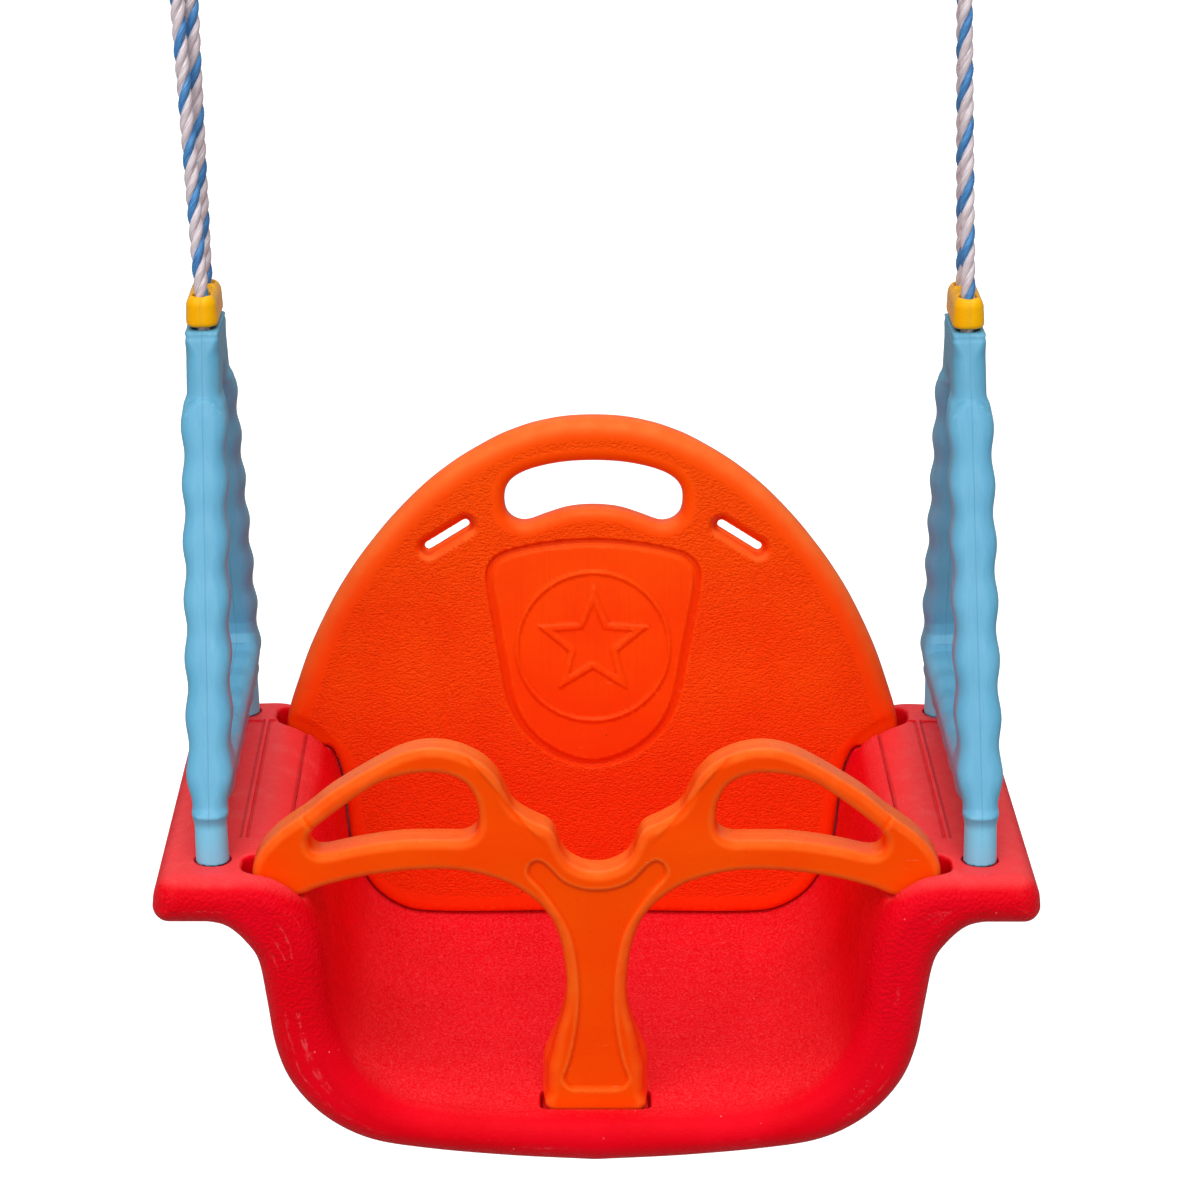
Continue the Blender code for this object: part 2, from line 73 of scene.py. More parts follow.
# ------------------------------------------------------------ curves and fields
def catmull(pts, per):
    P = [np.array(p, float) for p in pts]
    P = [P[0] * 2 - P[1]] + P + [P[-1] * 2 - P[-2]]
    out = []
    for i in range(1, len(P) - 2):
        a, b, c, d = P[i - 1:i + 3]
        for s in range(per):
            t = s / per
            out.append(0.5 * (2 * b + (c - a) * t + (2 * a - 5 * b + 4 * c - d) * t * t
                              + (3 * b - a - 3 * c + d) * t ** 3))
    out.append(P[-2])
    return np.array(out)


def mirrored(half, per=5):
    """Smooth closed loop from a half outline in mm drawn from x = 0 to x = 0."""
    h = np.array(half, float) / 1000
    full = np.vstack([h, (h * [-1, 1])[::-1][1:-1]])
    return closed(full, per)


def closed(pts, per=5):
    P = np.array(pts, float)
    n = len(P)
    out = []
    for i in range(n):
        a, b, c, d = P[i - 1], P[i], P[(i + 1) % n], P[(i + 2) % n]
        for s in range(per):
            t = s / per
            out.append(0.5 * (2 * b + (c - a) * t + (2 * a - 5 * b + 4 * c - d) * t * t
                              + (3 * b - a - 3 * c + d) * t ** 3))
    return np.array(out)


class Plane:
    """Values on a regular 2D grid, read back by bilinear interpolation."""

    def __init__(self, lo, hi, step, make):
        self.lo, self.step = np.array(lo, float), step
        n = np.ceil((np.array(hi) - self.lo) / step).astype(int) + 1
        us = self.lo[0] + step * np.arange(n[0])
        vs = self.lo[1] + step * np.arange(n[1])
        U, V = np.meshgrid(us, vs, indexing="ij")
        self.a = make(U, V)

    def __call__(self, u, v):
        a = self.a
        x = np.clip((u - self.lo[0]) / self.step, 0, a.shape[0] - 1.001)
        y = np.clip((v - self.lo[1]) / self.step, 0, a.shape[1] - 1.001)
        i, j = x.astype(np.int32), y.astype(np.int32)
        x, y = x - i, y - j
        return ((a[i, j] * (1 - x) + a[i + 1, j] * x) * (1 - y)
                + (a[i, j + 1] * (1 - x) + a[i + 1, j + 1] * x) * y)


def polygon_distance(loops, U, V, closed_loop=True):
    """Signed distance to closed loops, below zero inside by the even-odd rule."""
    best = np.full(U.shape, 1e9)
    inside = np.zeros(U.shape, bool)
    for loop in loops:
        n = len(loop)
        for i in range(n if closed_loop else n - 1):
            (ax, ay), (bx, by) = loop[i], loop[(i + 1) % n]
            ex, ey = bx - ax, by - ay
            L = ex * ex + ey * ey
            if L < 1e-16:
                continue
            px, py = U - ax, V - ay
            t = np.clip((px * ex + py * ey) / L, 0, 1)
            best = np.minimum(best, (px - t * ex) ** 2 + (py - t * ey) ** 2)
            if closed_loop and ay != by:
                inside ^= ((ay > V) != (by > V)) & (px < ex * py / ey)
    d = np.sqrt(best)
    return np.where(inside, -d, d) if closed_loop else d


def outline(loops, step=0.0006, pad=0.02):
    allp = np.vstack(loops)
    return Plane(allp.min(0) - pad, allp.max(0) + pad, step,
                 lambda U, V: polygon_distance(loops, U, V))


def roll(d, w, r, rd=None):
    """Extrusion edge: d is the outline distance, w the distance past the face;
    the edge between them is an ellipse r wide and rd deep."""
    rd = r if rd is None else rd
    a, b = (d + r) / r, (w + rd) / rd
    out = np.sqrt(np.maximum(a, 0) ** 2 + np.maximum(b, 0) ** 2) - 1 + np.minimum(np.maximum(a, b), 0)
    return out * (np.where(a > b, r, rd) + np.minimum(r, rd)) * 0.5


def smax(a, b, k):
    h = np.maximum(k - np.abs(a - b), 0) / k
    return np.maximum(a, b) + h * h * k * 0.25


def smin(a, b, k):
    return -smax(-a, -b, k)


def step01(x, a, b):
    t = np.clip((x - a) / (b - a), 0, 1)
    return t * t * (3 - 2 * t)


def box2(u, v, cu, cv, hu, hv, r):
    qu, qv = np.abs(u - cu) - hu + r, np.abs(v - cv) - hv + r
    return np.hypot(np.maximum(qu, 0), np.maximum(qv, 0)) + np.minimum(np.maximum(qu, qv), 0) - r


def axis(*spans):
    out = []
    for a, b, s in spans:
        out += list(np.linspace(a, b, max(1, round((b - a) / s)), endpoint=False))
    return np.array(out + [spans[-1][1]])


def contour(f, xs, ys, zs):
    """Surface nets: one vertex in every cell the zero level crosses."""
    F = np.empty((len(xs), len(ys), len(zs)))
    for i in range(0, len(xs), 12):
        X, Y, Z = np.meshgrid(xs[i:i + 12], ys, zs, indexing="ij")
        F[i:i + 12] = f(X, Y, Z)
    S = F < 0
    C = np.zeros(tuple(n - 1 for n in S.shape), np.int8)
    for a in (0, 1):
        for b in (0, 1):
            for c in (0, 1):
                C += S[a:a + C.shape[0], b:b + C.shape[1], c:c + C.shape[2]]
    active = (C > 0) & (C < 8)
    ids = np.full(active.shape, -1, np.int64)
    ids[active] = np.arange(active.sum())
    cell = np.stack(np.nonzero(active), 1)
    acc, cnt = np.zeros((len(cell), 3)), np.zeros(len(cell))
    for ax in range(3):
        for o1 in (0, 1):
            for o2 in (0, 1):
                o = [o1, o2]
                o.insert(ax, 0)
                i, j, k = (cell + o).T
                e = [0, 0, 0]
                e[ax] = 1
                fa, fb = F[i, j, k], F[i + e[0], j + e[1], k + e[2]]
                m = (fa < 0) != (fb < 0)
                t = (fa[m] / (fa[m] - fb[m]))[:, None]
                p = np.stack([xs[i[m]], ys[j[m]], zs[k[m]]], 1)
                q = np.stack([xs[i[m] + e[0]], ys[j[m] + e[1]], zs[k[m] + e[2]]], 1)
                acc[m] += p + (q - p) * t
                cnt[m] += 1
    V = acc / cnt[:, None]
    quads = []
    around = {0: ((0, -1, -1), (0, 0, -1), (0, 0, 0), (0, -1, 0)),
              1: ((-1, 0, -1), (-1, 0, 0), (0, 0, 0), (0, 0, -1)),
              2: ((-1, -1, 0), (0, -1, 0), (0, 0, 0), (-1, 0, 0))}
    for ax in range(3):
        cut = [slice(1, -1)] * 3
        cut[ax] = slice(0, -1)
        nxt = list(cut)
        nxt[ax] = slice(1, None)
        A = S[tuple(cut)]
        m = A != S[tuple(nxt)]
        idx = np.stack(np.nonzero(m), 1)
        off = np.array([1, 1, 1])
        off[ax] = 0
        idx = idx + off
        q = np.stack([ids[tuple((idx + np.array(o)).T)] for o in around[ax]], 1)
        flip = ~A[m]
        q[flip] = q[flip][:, ::-1]
        quads.append(q)
    return V, np.vstack(quads)


def field_grad(f, V, h):
    g = np.empty_like(V)
    for a in range(3):
        e = np.zeros(3)
        e[a] = h
        P, Q = V + e, V - e
        g[:, a] = (f(P[:, 0], P[:, 1], P[:, 2]) - f(Q[:, 0], Q[:, 1], Q[:, 2])) / (2 * h)
    return g


def settle(f, V, quads, rounds=4, lam=0.6, h=0.00025, reach=0.0012):
    e = np.vstack([quads[:, [0, 1]], quads[:, [1, 2]], quads[:, [2, 3]], quads[:, [3, 0]]])
    n = len(V)
    deg = np.bincount(e[:, 0], minlength=n) + np.bincount(e[:, 1], minlength=n)
    for r in range(rounds):
        avg = np.stack([np.bincount(e[:, 0], V[e[:, 1], a], n) + np.bincount(e[:, 1], V[e[:, 0], a], n)
                        for a in range(3)], 1) / deg[:, None]
        g = field_grad(f, V, h)
        L = np.maximum(np.linalg.norm(g, axis=1), 0.3)[:, None]
        nrm = g / L
        d = avg - V
        d -= nrm * (d * nrm).sum(1)[:, None]
        V = V + lam * d
        for _ in range(2):
            val = f(V[:, 0], V[:, 1], V[:, 2])[:, None]
            V = V - nrm * np.clip(val / L, -reach, reach)
    return V


def curvature(f, V, h=0.0022):
    """Sum of the principal curvatures: above zero on ridges, below in hollows."""
    c = -6 * f(V[:, 0], V[:, 1], V[:, 2])
    for a in range(3):
        for s in (1, -1):
            P = V.copy()
            P[:, a] += s * h
            c = c + f(P[:, 0], P[:, 1], P[:, 2])
    return c / (h * h)


def add_mesh(name, V, faces, world, attrs, normals=None, materials=(), smooth=True):
    """Mesh object in the row frame; attrs are per-vertex values, 'loc' the local place."""
    W = V @ np.array(world.to_3x3()).T + np.array(world.translation)
    me = bpy.data.meshes.new(name)
    me.from_pydata(W.tolist(), [], faces.tolist() if hasattr(faces, "tolist") else faces)
    me.update()
    for key, val in attrs.items():
        val = np.asarray(val, np.float32)
        kind = "FLOAT_VECTOR" if val.ndim == 2 else "FLOAT"
        at = me.attributes.new(key, kind, "POINT")
        at.data.foreach_set("vector" if val.ndim == 2 else "value", val.ravel())
    for m in materials:
        me.materials.append(m)
    if smooth:
        me.shade_smooth()
    if normals is not None:
        N = normals @ np.array(world.to_3x3()).T
        me.normals_split_custom_set_from_vertices(N.tolist())
    ob = bpy.data.objects.new(name, me)
    bpy.context.scene.collection.objects.link(ob)
    return ob


def skin(name, f, xs, ys, zs, world, mats, extra=None, rounds=4, lam=0.6, nh=0.0004):
    V, Q = contour(f, xs, ys, zs)
    V = settle(f, V, Q, rounds, lam)
    N = field_grad(f, V, nh)
    N /= np.maximum(np.linalg.norm(N, axis=1), 1e-9)[:, None]
    attrs = {"loc": V, "curv": np.clip(curvature(f, V) / 400, -2, 2)}
    if extra:
        attrs.update(extra(V, N))
    ob = add_mesh(name, V, Q, world, attrs, N, mats)
    print("PIECE", name, len(V), "verts", len(Q), "quads")
    return ob


# ------------------------------------------------------------ node helpers
def srgb(r, g, b):
    f = lambda c: c / 12.92 if c <= 0.04045 else ((c + 0.055) / 1.055) ** 2.4
    return (f(r / 255), f(g / 255), f(b / 255), 1.0)


class Shade:
    def __init__(self, name):
        self.mat = bpy.data.materials.new(name)
        self.mat.use_nodes = True
        self.t = self.mat.node_tree
        self.t.nodes.clear()
        self.out = self.t.nodes.new("ShaderNodeOutputMaterial")
        self.bsdf = self.t.nodes.new("ShaderNodeBsdfPrincipled")
        self.t.links.new(self.bsdf.outputs[0], self.out.inputs[0])
        self.loc = self.attr("loc", "Vector")

    def put(self, sock, val):
        if isinstance(val, bpy.types.NodeSocket):
            self.t.links.new(val, sock)
        elif val is not None:
            sock.default_value = val

    def node(self, kind, ins=None, **props):
        n = self.t.nodes.new(kind)
        for k, v in props.items():
            setattr(n, k, v)
        for k, v in (ins or {}).items():
            self.put(n.inputs[k], v)
        return n

    def attr(self, name, out="Fac"):
        return self.node("ShaderNodeAttribute", attribute_name=name).outputs[out]

    def math(self, op, a, b=None, c=None, clamp=False):
        n = self.node("ShaderNodeMath", operation=op, use_clamp=clamp)
        for i, v in enumerate((a, b, c)):
            if v is not None:
                self.put(n.inputs[i], v)
        return n.outputs[0]

    def mul(self, a, b):
        return self.math("MULTIPLY", a, b)

    def add(self, a, b):
        return self.math("ADD", a, b)

    def span(self, v, a, b, lo=0.0, hi=1.0):
        n = self.node("ShaderNodeMapRange", {0: v, 1: a, 2: b, 3: lo, 4: hi}, interpolation_type="SMOOTHSTEP")
        return n.outputs[0]

    def scaled(self, vec, s, shift=(0, 0, 0)):
        a = self.node("ShaderNodeVectorMath", {0: vec, 1: s}, operation="MULTIPLY").outputs[0]
        return self.node("ShaderNodeVectorMath", {0: a, 1: shift}, operation="ADD").outputs[0]

    def noise(self, vec, scale, detail=2.0, rough=0.5, warp=0.0):
        return self.node("ShaderNodeTexNoise", {"Vector": vec, "Scale": scale, "Detail": detail,
                                                "Roughness": rough, "Distortion": warp}).outputs[0]

    def cells(self, vec, scale, feature="F1", rand=1.0, smooth=None):
        n = self.node("ShaderNodeTexVoronoi", {"Vector": vec, "Scale": scale, "Randomness": rand}, feature=feature)
        if smooth is not None:
            n.inputs["Smoothness"].default_value = smooth
        return n.outputs["Distance"]

    def mix(self, fac, a, b, mode="MIX"):
        n = self.node("ShaderNodeMix", data_type="RGBA", blend_type=mode)
        self.put(n.inputs[0], fac)
        self.put(n.inputs[6], a)
        self.put(n.inputs[7], b)
        return n.outputs[2]

    def bump(self, height, dist, strength=1.0, normal=None):
        n = self.node("ShaderNodeBump", {"Height": height, "Strength": strength, "Distance": dist})
        if normal is not None:
            self.put(n.inputs["Normal"], normal)
        return n.outputs[0]

    def finish(self, colour, rough, normal, spec=0.5, tint=(1.0, 1.0, 1.0), coat=0.0, coat_rough=0.2):
        b = self.bsdf
        b.inputs["Specular Tint"].default_value = (*tint, 1.0)
        self.put(b.inputs["Base Color"], colour)
        self.put(b.inputs["Roughness"], rough)
        self.put(b.inputs["Normal"], normal)
        b.inputs["Specular IOR Level"].default_value = spec
        b.inputs["Coat Weight"].default_value = coat
        b.inputs["Coat Roughness"].default_value = coat_rough
        return self.mat


def seat_material():
    s = Shade("seat_red_moulded")
    P = s.loc
    rim, pan, along = s.attr("rim"), s.attr("pan"), s.attr("along", "Vector")
    curv = s.attr("curv")
    # pebble grain: cells with soft creases, broken up by noise
    warp = s.noise(P, 260, 2, 0.5)
    wv = s.node("ShaderNodeVectorMath", {0: P, 1: s.node("ShaderNodeCombineXYZ", {0: s.mul(warp, 0.0016), 1: s.mul(warp, -0.0012), 2: s.mul(warp, 0.0014)}).outputs[0]}, operation="ADD").outputs[0]
    pebble = s.cells(wv, 520, "SMOOTH_F1", 1.0, 0.30)
    fine = s.noise(P, 1100, 2, 0.6)
    leather = s.add(s.mul(pebble, -1.0), s.mul(s.noise(P, 560, 2, 0.6), 0.55))
    grain = s.add(s.mul(leather, s.span(rim, 0.0, 1.0, 0.06, 1.0)), s.mul(fine, 0.22))
    # slow thickness waviness of a blow moulded skin
    slow = s.noise(P, 22, 2, 0.5)
    streak = s.noise(s.scaled(along, (12.0, 520.0, 520.0)), 1.0, 3, 0.6)
    # pale scuffs running along the rims
    sc = s.noise(s.scaled(along, (26.0, 900.0, 900.0)), 1.0, 2, 0.55)
    patch = s.noise(P, 34, 2, 0.5)
    part = s.attr("partline")
    ragged = s.noise(s.scaled(along, (150.0, 700.0, 700.0)), 1.0, 3, 0.7)
    scuff = s.mul(s.mul(s.span(part, 0.25, 0.9), s.span(patch, 0.49, 0.60)), s.span(ragged, 0.47, 0.66))
    scuff = s.math("MAXIMUM", scuff, s.mul(s.mul(s.span(sc, 0.69, 0.74), s.span(patch, 0.55, 0.66)), s.mul(s.span(rim, 0.1, 0.5), 0.6)))
    # convex edges painted paler: rubbed wear and painted highlight
    edge_wear_and_highlight = s.mul(s.span(curv, 0.12, 0.75), s.span(s.noise(P, 420, 3, 0.65), 0.46, 0.66))
    specks = s.mul(s.span(s.cells(P, 130, "F1"), 0.075, 0.045), s.span(s.noise(P, 60, 1), 0.53, 0.60))
    # painted shade: hollows and creases are darkened to a deep red
    crease_shade = s.mul(s.span(curv, -0.25, -1.1), 0.55)
    base = s.mix(s.span(slow, 0.3, 0.7), srgb(229, 0, 18), srgb(238, 2, 26))
    # pale streaks along the pan are its texture; the pale pink over the up-facing pan is painted sheen
    base = s.mix(s.mul(s.span(streak, 0.40, 0.70), s.mul(pan, 0.26)), base, srgb(248, 36, 48))
    base = s.mix(s.mul(s.span(s.noise(P, 820, 3, 0.75), 0.42, 0.72), s.mul(pan, 0.66)), base, srgb(255, 84, 88))
    # painted sheen: the up-facing flange tops are painted paler pink, in patches
    tops = s.attr("tops")
    base = s.mix(s.mul(tops, s.span(s.noise(P, 700, 3, 0.7), 0.25, 0.75, 0.62, 0.92)), base, srgb(255, 70, 72))
    base = s.mix(s.mul(tops, s.mul(s.span(s.noise(P, 60, 3, 0.6), 0.5, 0.8), 0.35)), base, srgb(255, 104, 100))
    base = s.mix(s.mul(edge_wear_and_highlight, 0.22), base, srgb(248, 92, 96))
    base = s.mix(s.mul(scuff, 0.30), base, srgb(252, 120, 126))
    base = s.mix(s.mul(specks, 0.55), base, srgb(252, 150, 146))
    base = s.mix(crease_shade, base, srgb(150, 2, 14))
    rough = s.span(s.noise(P, 130, 3, 0.6), 0.3, 0.7, 0.40, 0.52)
    rough = s.add(rough, s.mul(scuff, 0.14))
    rough = s.add(rough, s.mul(pan, 0.10))
    n = s.bump(grain, 0.00054, 1.0)
    n = s.bump(slow, 0.0012, 0.35, n)
    n = s.bump(scuff, 0.00015, 0.6, n)
    return s.finish(base, rough, n, 0.27, (1.0, 0.12, 0.17))


def back_material():
    s = Shade("backrest_orange_moulded")
    P = s.loc
    grainy, floor = s.attr("grain"), s.attr("floor")
    curv = s.attr("curv")
    Q = s.scaled(P, (1.0, 1.0, 1.7))
    peb = s.noise(Q, 640, 2, 0.55, 0.6)
    peb2 = s.cells(Q, 590, "SMOOTH_F1", 1.0, 0.5)
    h = s.add(s.mul(peb, 0.75), s.mul(peb2, -0.85))
    h = s.mul(h, s.span(grainy, 0.05, 0.95, 0.05, 1.0))
    lines = s.noise(s.scaled(P, (900.0, 60.0, 9.0)), 1.0, 3, 0.65)
    lines2 = s.noise(s.scaled(P, (260.0, 60.0, 5.0)), 1.0, 2, 0.6)
    slow = s.noise(P, 26, 2, 0.5)
    base = s.mix(s.span(slow, 0.3, 0.7), srgb(252, 58, 0), srgb(255, 68, 0))
    high = s.node("ShaderNodeSeparateXYZ", {0: P}).outputs[2]
    # painted light: the panel is painted lighter towards the top and darker, redder towards the bottom where it sits in
    # the seat
    base = s.mix(s.span(high, 0.05, 0.16, 0.0, 0.75), base, srgb(255, 82, 0))
    base = s.mix(s.span(high, 0.04, -0.05, 0.0, 0.80), base, srgb(244, 36, 2))
    base = s.mix(s.mul(s.span(peb, 0.50, 0.30), s.mul(grainy, 0.40)), base, srgb(240, 38, 2))
    base = s.mix(s.mul(s.span(lines, 0.52, 0.72), s.mul(floor, 0.28)), base, srgb(238, 46, 0))
    # convex edges painted paler: rubbed wear and painted highlight
    edge_wear_and_highlight = s.mul(s.span(curv, 0.10, 0.6), s.span(s.noise(P, 300, 3, 0.65), 0.45, 0.65))
    base = s.mix(s.mul(edge_wear_and_highlight, 0.16), base, srgb(255, 112, 36))
    # painted highlight along the upward-facing upper edges
    base = s.mix(s.mul(s.attr("crest"), s.span(s.noise(P, 90, 2), 0.3, 0.7, 0.40, 0.58)), base, srgb(255, 132, 62))
    scr = s.noise(s.scaled(P, (140.0, 300.0, 1100.0), (3.1, 0, 0.7)), 1.0, 2, 0.5)
    scratch = s.mul(s.span(scr, 0.70, 0.745), s.span(s.noise(P, 45, 1), 0.55, 0.62))
    base = s.mix(s.mul(scratch, 0.35), base, srgb(255, 160, 110))
    specks = s.mul(s.span(s.cells(P, 60, "F1"), 0.05, 0.03), s.span(s.noise(P, 31, 1), 0.5, 0.56))
    base = s.mix(s.mul(specks, 0.8), base, srgb(206, 44, 6))
    # painted shade: hollows and creases are darkened
    base = s.mix(s.mul(s.span(curv, -0.3, -1.3), 0.5), base, srgb(214, 26, 0))
    rough = s.span(s.noise(P, 160, 3, 0.6), 0.3, 0.7, 0.36, 0.48)
    rough = s.add(rough, s.mul(grainy, 0.06))
    n = s.bump(h, 0.00078, 1.0)
    n = s.bump(s.mul(s.add(s.mul(lines, 0.5), lines2), s.span(floor, 0, 1, 0.12, 1.0)), 0.00022, 0.7, n)
    n = s.bump(slow, 0.0010, 0.35, n)
    return s.finish(base, rough, n, 0.32, (1.0, 0.48, 0.16))


def guard_material():
    s = Shade("guard_orange_moulded")
    P = s.loc
    curv = s.attr("curv")
    slow = s.noise(P, 24, 2, 0.5)
    flow = s.noise(s.scaled(P, (34.0, 180.0, 260.0)), 1.0, 3, 0.6, 0.4)
    fine = s.noise(P, 1700, 2, 0.6)
    base = s.mix(s.span(slow, 0.3, 0.7), srgb(255, 68, 0), srgb(255, 77, 0))
    base = s.mix(s.mul(s.span(flow, 0.5, 0.75), 0.16), base, srgb(251, 62, 0))
    # painted highlight: a pale band along the rolled convex edges
    edge_wear_and_highlight = s.mul(s.span(curv, 0.10, 0.7), s.span(s.noise(P, 150, 2, 0.5), 0.30, 0.70, 0.60, 1.0))
    base = s.mix(s.mul(edge_wear_and_highlight, 0.30), base, srgb(255, 136, 50))
    # painted sheen on the upward-facing top surfaces
    ups = s.attr("ups")
    base = s.mix(s.mul(ups, s.span(s.noise(P, 160, 2, 0.5), 0.3, 0.7, 0.30, 0.40)), base, srgb(255, 146, 64))
    scr = s.noise(s.scaled(P, (90.0, 500.0, 1300.0), (1.3, 0, 5.2)), 1.0, 2, 0.5)
    scratch = s.mul(s.span(scr, 0.71, 0.75), s.span(s.noise(P, 52, 1), 0.54, 0.60))
    base = s.mix(s.mul(scratch, 0.4), base, srgb(255, 170, 120))
    # painted shade: hollows and creases are darkened
    base = s.mix(s.mul(s.span(curv, -0.3, -1.3), 0.45), base, srgb(226, 40, 0))
    rough = s.span(s.noise(P, 210, 3, 0.65), 0.3, 0.7, 0.27, 0.38)
    rough = s.add(rough, s.mul(scratch, 0.2))
    n = s.bump(fine, 0.00006, 0.5)
    n = s.bump(s.add(slow, s.mul(flow, 0.25)), 0.0010, 0.4, n)
    return s.finish(base, rough, n, 0.34, (1.0, 0.40, 0.08))


def frame_material():
    s = Shade("frame_blue_moulded")
    P = s.loc
    curv, seam = s.attr("curv"), s.attr("seam")
    slow = s.noise(P, 30, 2, 0.5)
    draw = s.noise(s.scaled(P, (900.0, 260.0, 10.0)), 1.0, 3, 0.65)
    draw2 = s.noise(s.scaled(P, (320.0, 120.0, 6.0)), 1.0, 2, 0.6)
    fine = s.noise(P, 1500, 2, 0.6)
    base = s.mix(s.span(slow, 0.3, 0.7), srgb(97, 172, 208), srgb(106, 179, 213))
    base = s.mix(s.mul(s.span(draw, 0.50, 0.72), 0.30), base, srgb(86, 160, 196))
    base = s.mix(s.mul(s.span(draw2, 0.52, 0.75), 0.16), base, srgb(136, 198, 226))
    line = s.span(s.math("ABSOLUTE", seam), 0.00042, 0.00012)
    base = s.mix(s.mul(line, 0.30), base, srgb(60, 130, 166))
    # convex edges painted paler: rubbed wear and painted highlight
    edge_wear_and_highlight = s.mul(s.span(curv, 0.2, 0.9), s.span(s.noise(P, 330, 3, 0.65), 0.50, 0.68))
    base = s.mix(s.mul(edge_wear_and_highlight, 0.30), base, srgb(160, 212, 232))
    # painted shade: hollows and creases are darkened
    base = s.mix(s.mul(s.span(curv, -0.3, -1.3), 0.45), base, srgb(58, 118, 156))
    specks = s.mul(s.span(s.cells(P, 85, "F1"), 0.05, 0.03), s.span(s.noise(P, 44, 1), 0.5, 0.56))
    base = s.mix(s.mul(specks, 0.6), base, srgb(60, 120, 150))
    # painted light: the necks of the feet are painted a lighter blue; the cut head is duller
    high = s.node("ShaderNodeSeparateXYZ", {0: P}).outputs[2]
    base = s.mix(s.span(high, 0.025, 0.018, 0.0, 0.75), base, srgb(136, 218, 250))
    base = s.mix(s.mul(s.span(high, 0.228, 0.240), s.span(draw2, 0.35, 0.65, 0.25, 0.55)), base, srgb(92, 160, 190))
    rough = s.span(s.noise(P, 200, 3, 0.6), 0.3, 0.7, 0.36, 0.48)
    n = s.bump(s.add(s.mul(draw, 0.6), draw2), 0.00012, 0.5)
    n = s.bump(fine, 0.00005, 0.4, n)
    n = s.bump(line, 0.00012, 0.6, n)
    n = s.bump(slow, 0.0012, 0.4, n)
    return s.finish(base, rough, n, 0.35)


def guide_material():
    s = Shade("guide_yellow_moulded")
    P = s.loc
    curv, seam = s.attr("curv"), s.attr("seam")
    slow = s.noise(P, 70, 2, 0.5)
    base = s.mix(s.span(slow, 0.3, 0.7), srgb(255, 176, 0), srgb(255, 186, 0))
    line = s.span(s.math("ABSOLUTE", seam), 0.00045, 0.00012)
    base = s.mix(s.mul(line, 0.35), base, srgb(255, 214, 90))
    # convex edges painted paler: rubbed wear and painted highlight
    edge_wear_and_highlight = s.mul(s.span(curv, 0.6, 1.6), s.span(s.noise(P, 240, 2, 0.55), 0.45, 0.66))
    base = s.mix(s.mul(edge_wear_and_highlight, 0.25), base, srgb(255, 210, 80))
    # painted shade: hollows and creases are darkened
    base = s.mix(s.mul(s.span(curv, -0.4, -1.5), 0.5), base, srgb(226, 120, 0))
    smear = s.noise(s.scaled(P, (90.0, 90.0, 300.0)), 1.0, 2, 0.5)
    base = s.mix(s.mul(s.span(smear, 0.50, 0.80), 0.12), base, srgb(246, 158, 0))
    rough = s.span(s.noise(P, 380, 3, 0.6), 0.3, 0.7, 0.24, 0.36)
    n = s.bump(s.noise(P, 1900, 2, 0.6), 0.00005, 0.5)
    n = s.bump(line, 0.00030, 0.8, n)
    n = s.bump(slow, 0.0006, 0.4, n)
    return s.finish(base, rough, n, 0.42, (1.0, 0.76, 0.22))


def rope_material(name, light, mid, dark):
    """Laid filament: the streaks run along each strand, 'fibre' is (length, around, strand)."""
    s = Shade(name)
    F = s.attr("fibre", "Vector")
    fil = s.noise(s.scaled(F, (110.0, 5.5, 9.0)), 1.0, 3, 0.7)
    yarn = s.noise(s.scaled(F, (30.0, 1.6, 5.0)), 1.0, 2, 0.5)
    base = s.mix(s.span(fil, 0.38, 0.66), dark, light)
    base = s.mix(s.mul(s.span(yarn, 0.42, 0.62), 0.5), base, mid)
    # painted shade: each strand is darkened on its inner side, where it lies against the others
    deep = s.attr("deep")
    base = s.mix(s.mul(s.span(deep, 0.35, 1.0), 0.65), base, dark)
    rough = s.span(fil, 0.3, 0.7, 0.34, 0.52)
    n = s.bump(s.add(fil, s.mul(yarn, 0.5)), 0.00025, 0.75)
    return s.finish(base, rough, n, 0.5)


# ------------------------------------------------------------ seat
INNER_FRONT = [(0, -138), (45, -137.5), (85, -134), (108, -127), (125, -113.5), (135, -96),
               (140.5, -76), (143, -52), (146.5, -30), (154.5, -14), (167, -4), (180, 0),
               (199, 0), (220.5, 0)]
INNER_REAR = [(0, -112), (45, -113), (85, -114), (107.5, -113), (124.5, -104.5), (135, -91.5),
              (141.5, -75.5), (144.5, -53), (147.5, -30.5), (154.5, -15), (167, -5), (180, 0),
              (199, 0), (220.5, 0)]
OUTER_FRONT = [(0, -165), (46, -162.5), (92, -158), (122.5, -152), (146, -138.5), (162.5, -119),
               (170.5, -98), (174.5, -72), (178.5, -48.5), (185.5, -37), (194, -29), (202, -26.3),
               (210, -26), (220.5, -26)]
OUTER_REAR = [(0, -142), (46, -142.5), (92, -143.5), (122, -140.5), (144, -129), (159.5, -112),
              (168.5, -93), (173.5, -70), (178, -48.5), (185.5, -37), (194, -29), (202, -26.3),
              (210, -26), (220.5, -26)]
SEAT_KEYS = 9


def seat_halves(t, per=5):
    mix = lambda a, b: [((1 - t) * p[0] + t * q[0], (1 - t) * p[1] + t * q[1]) for p, q in zip(a, b)]
    return catmull(mix(INNER_FRONT, INNER_REAR), per) / 1000, catmull(mix(OUTER_FRONT, OUTER_REAR), per) / 1000


def seat_loop(t):
    inner, outer = seat_halves(t)
    tip = [(0.2205 + 0.0125 * math.cos(a), -0.0135 + 0.0135 * math.sin(a)) for a in np.radians(np.linspace(80, 4, 9))]
    tip += [(0.2245 + 0.0090 * math.cos(a), -0.0170 + 0.0090 * math.sin(a)) for a in np.radians(np.linspace(-4, -86, 9))]
    right = np.vstack([inner, tip, outer[::-1]])
    return np.vstack([right, (right * [-1, 1])[::-1]])


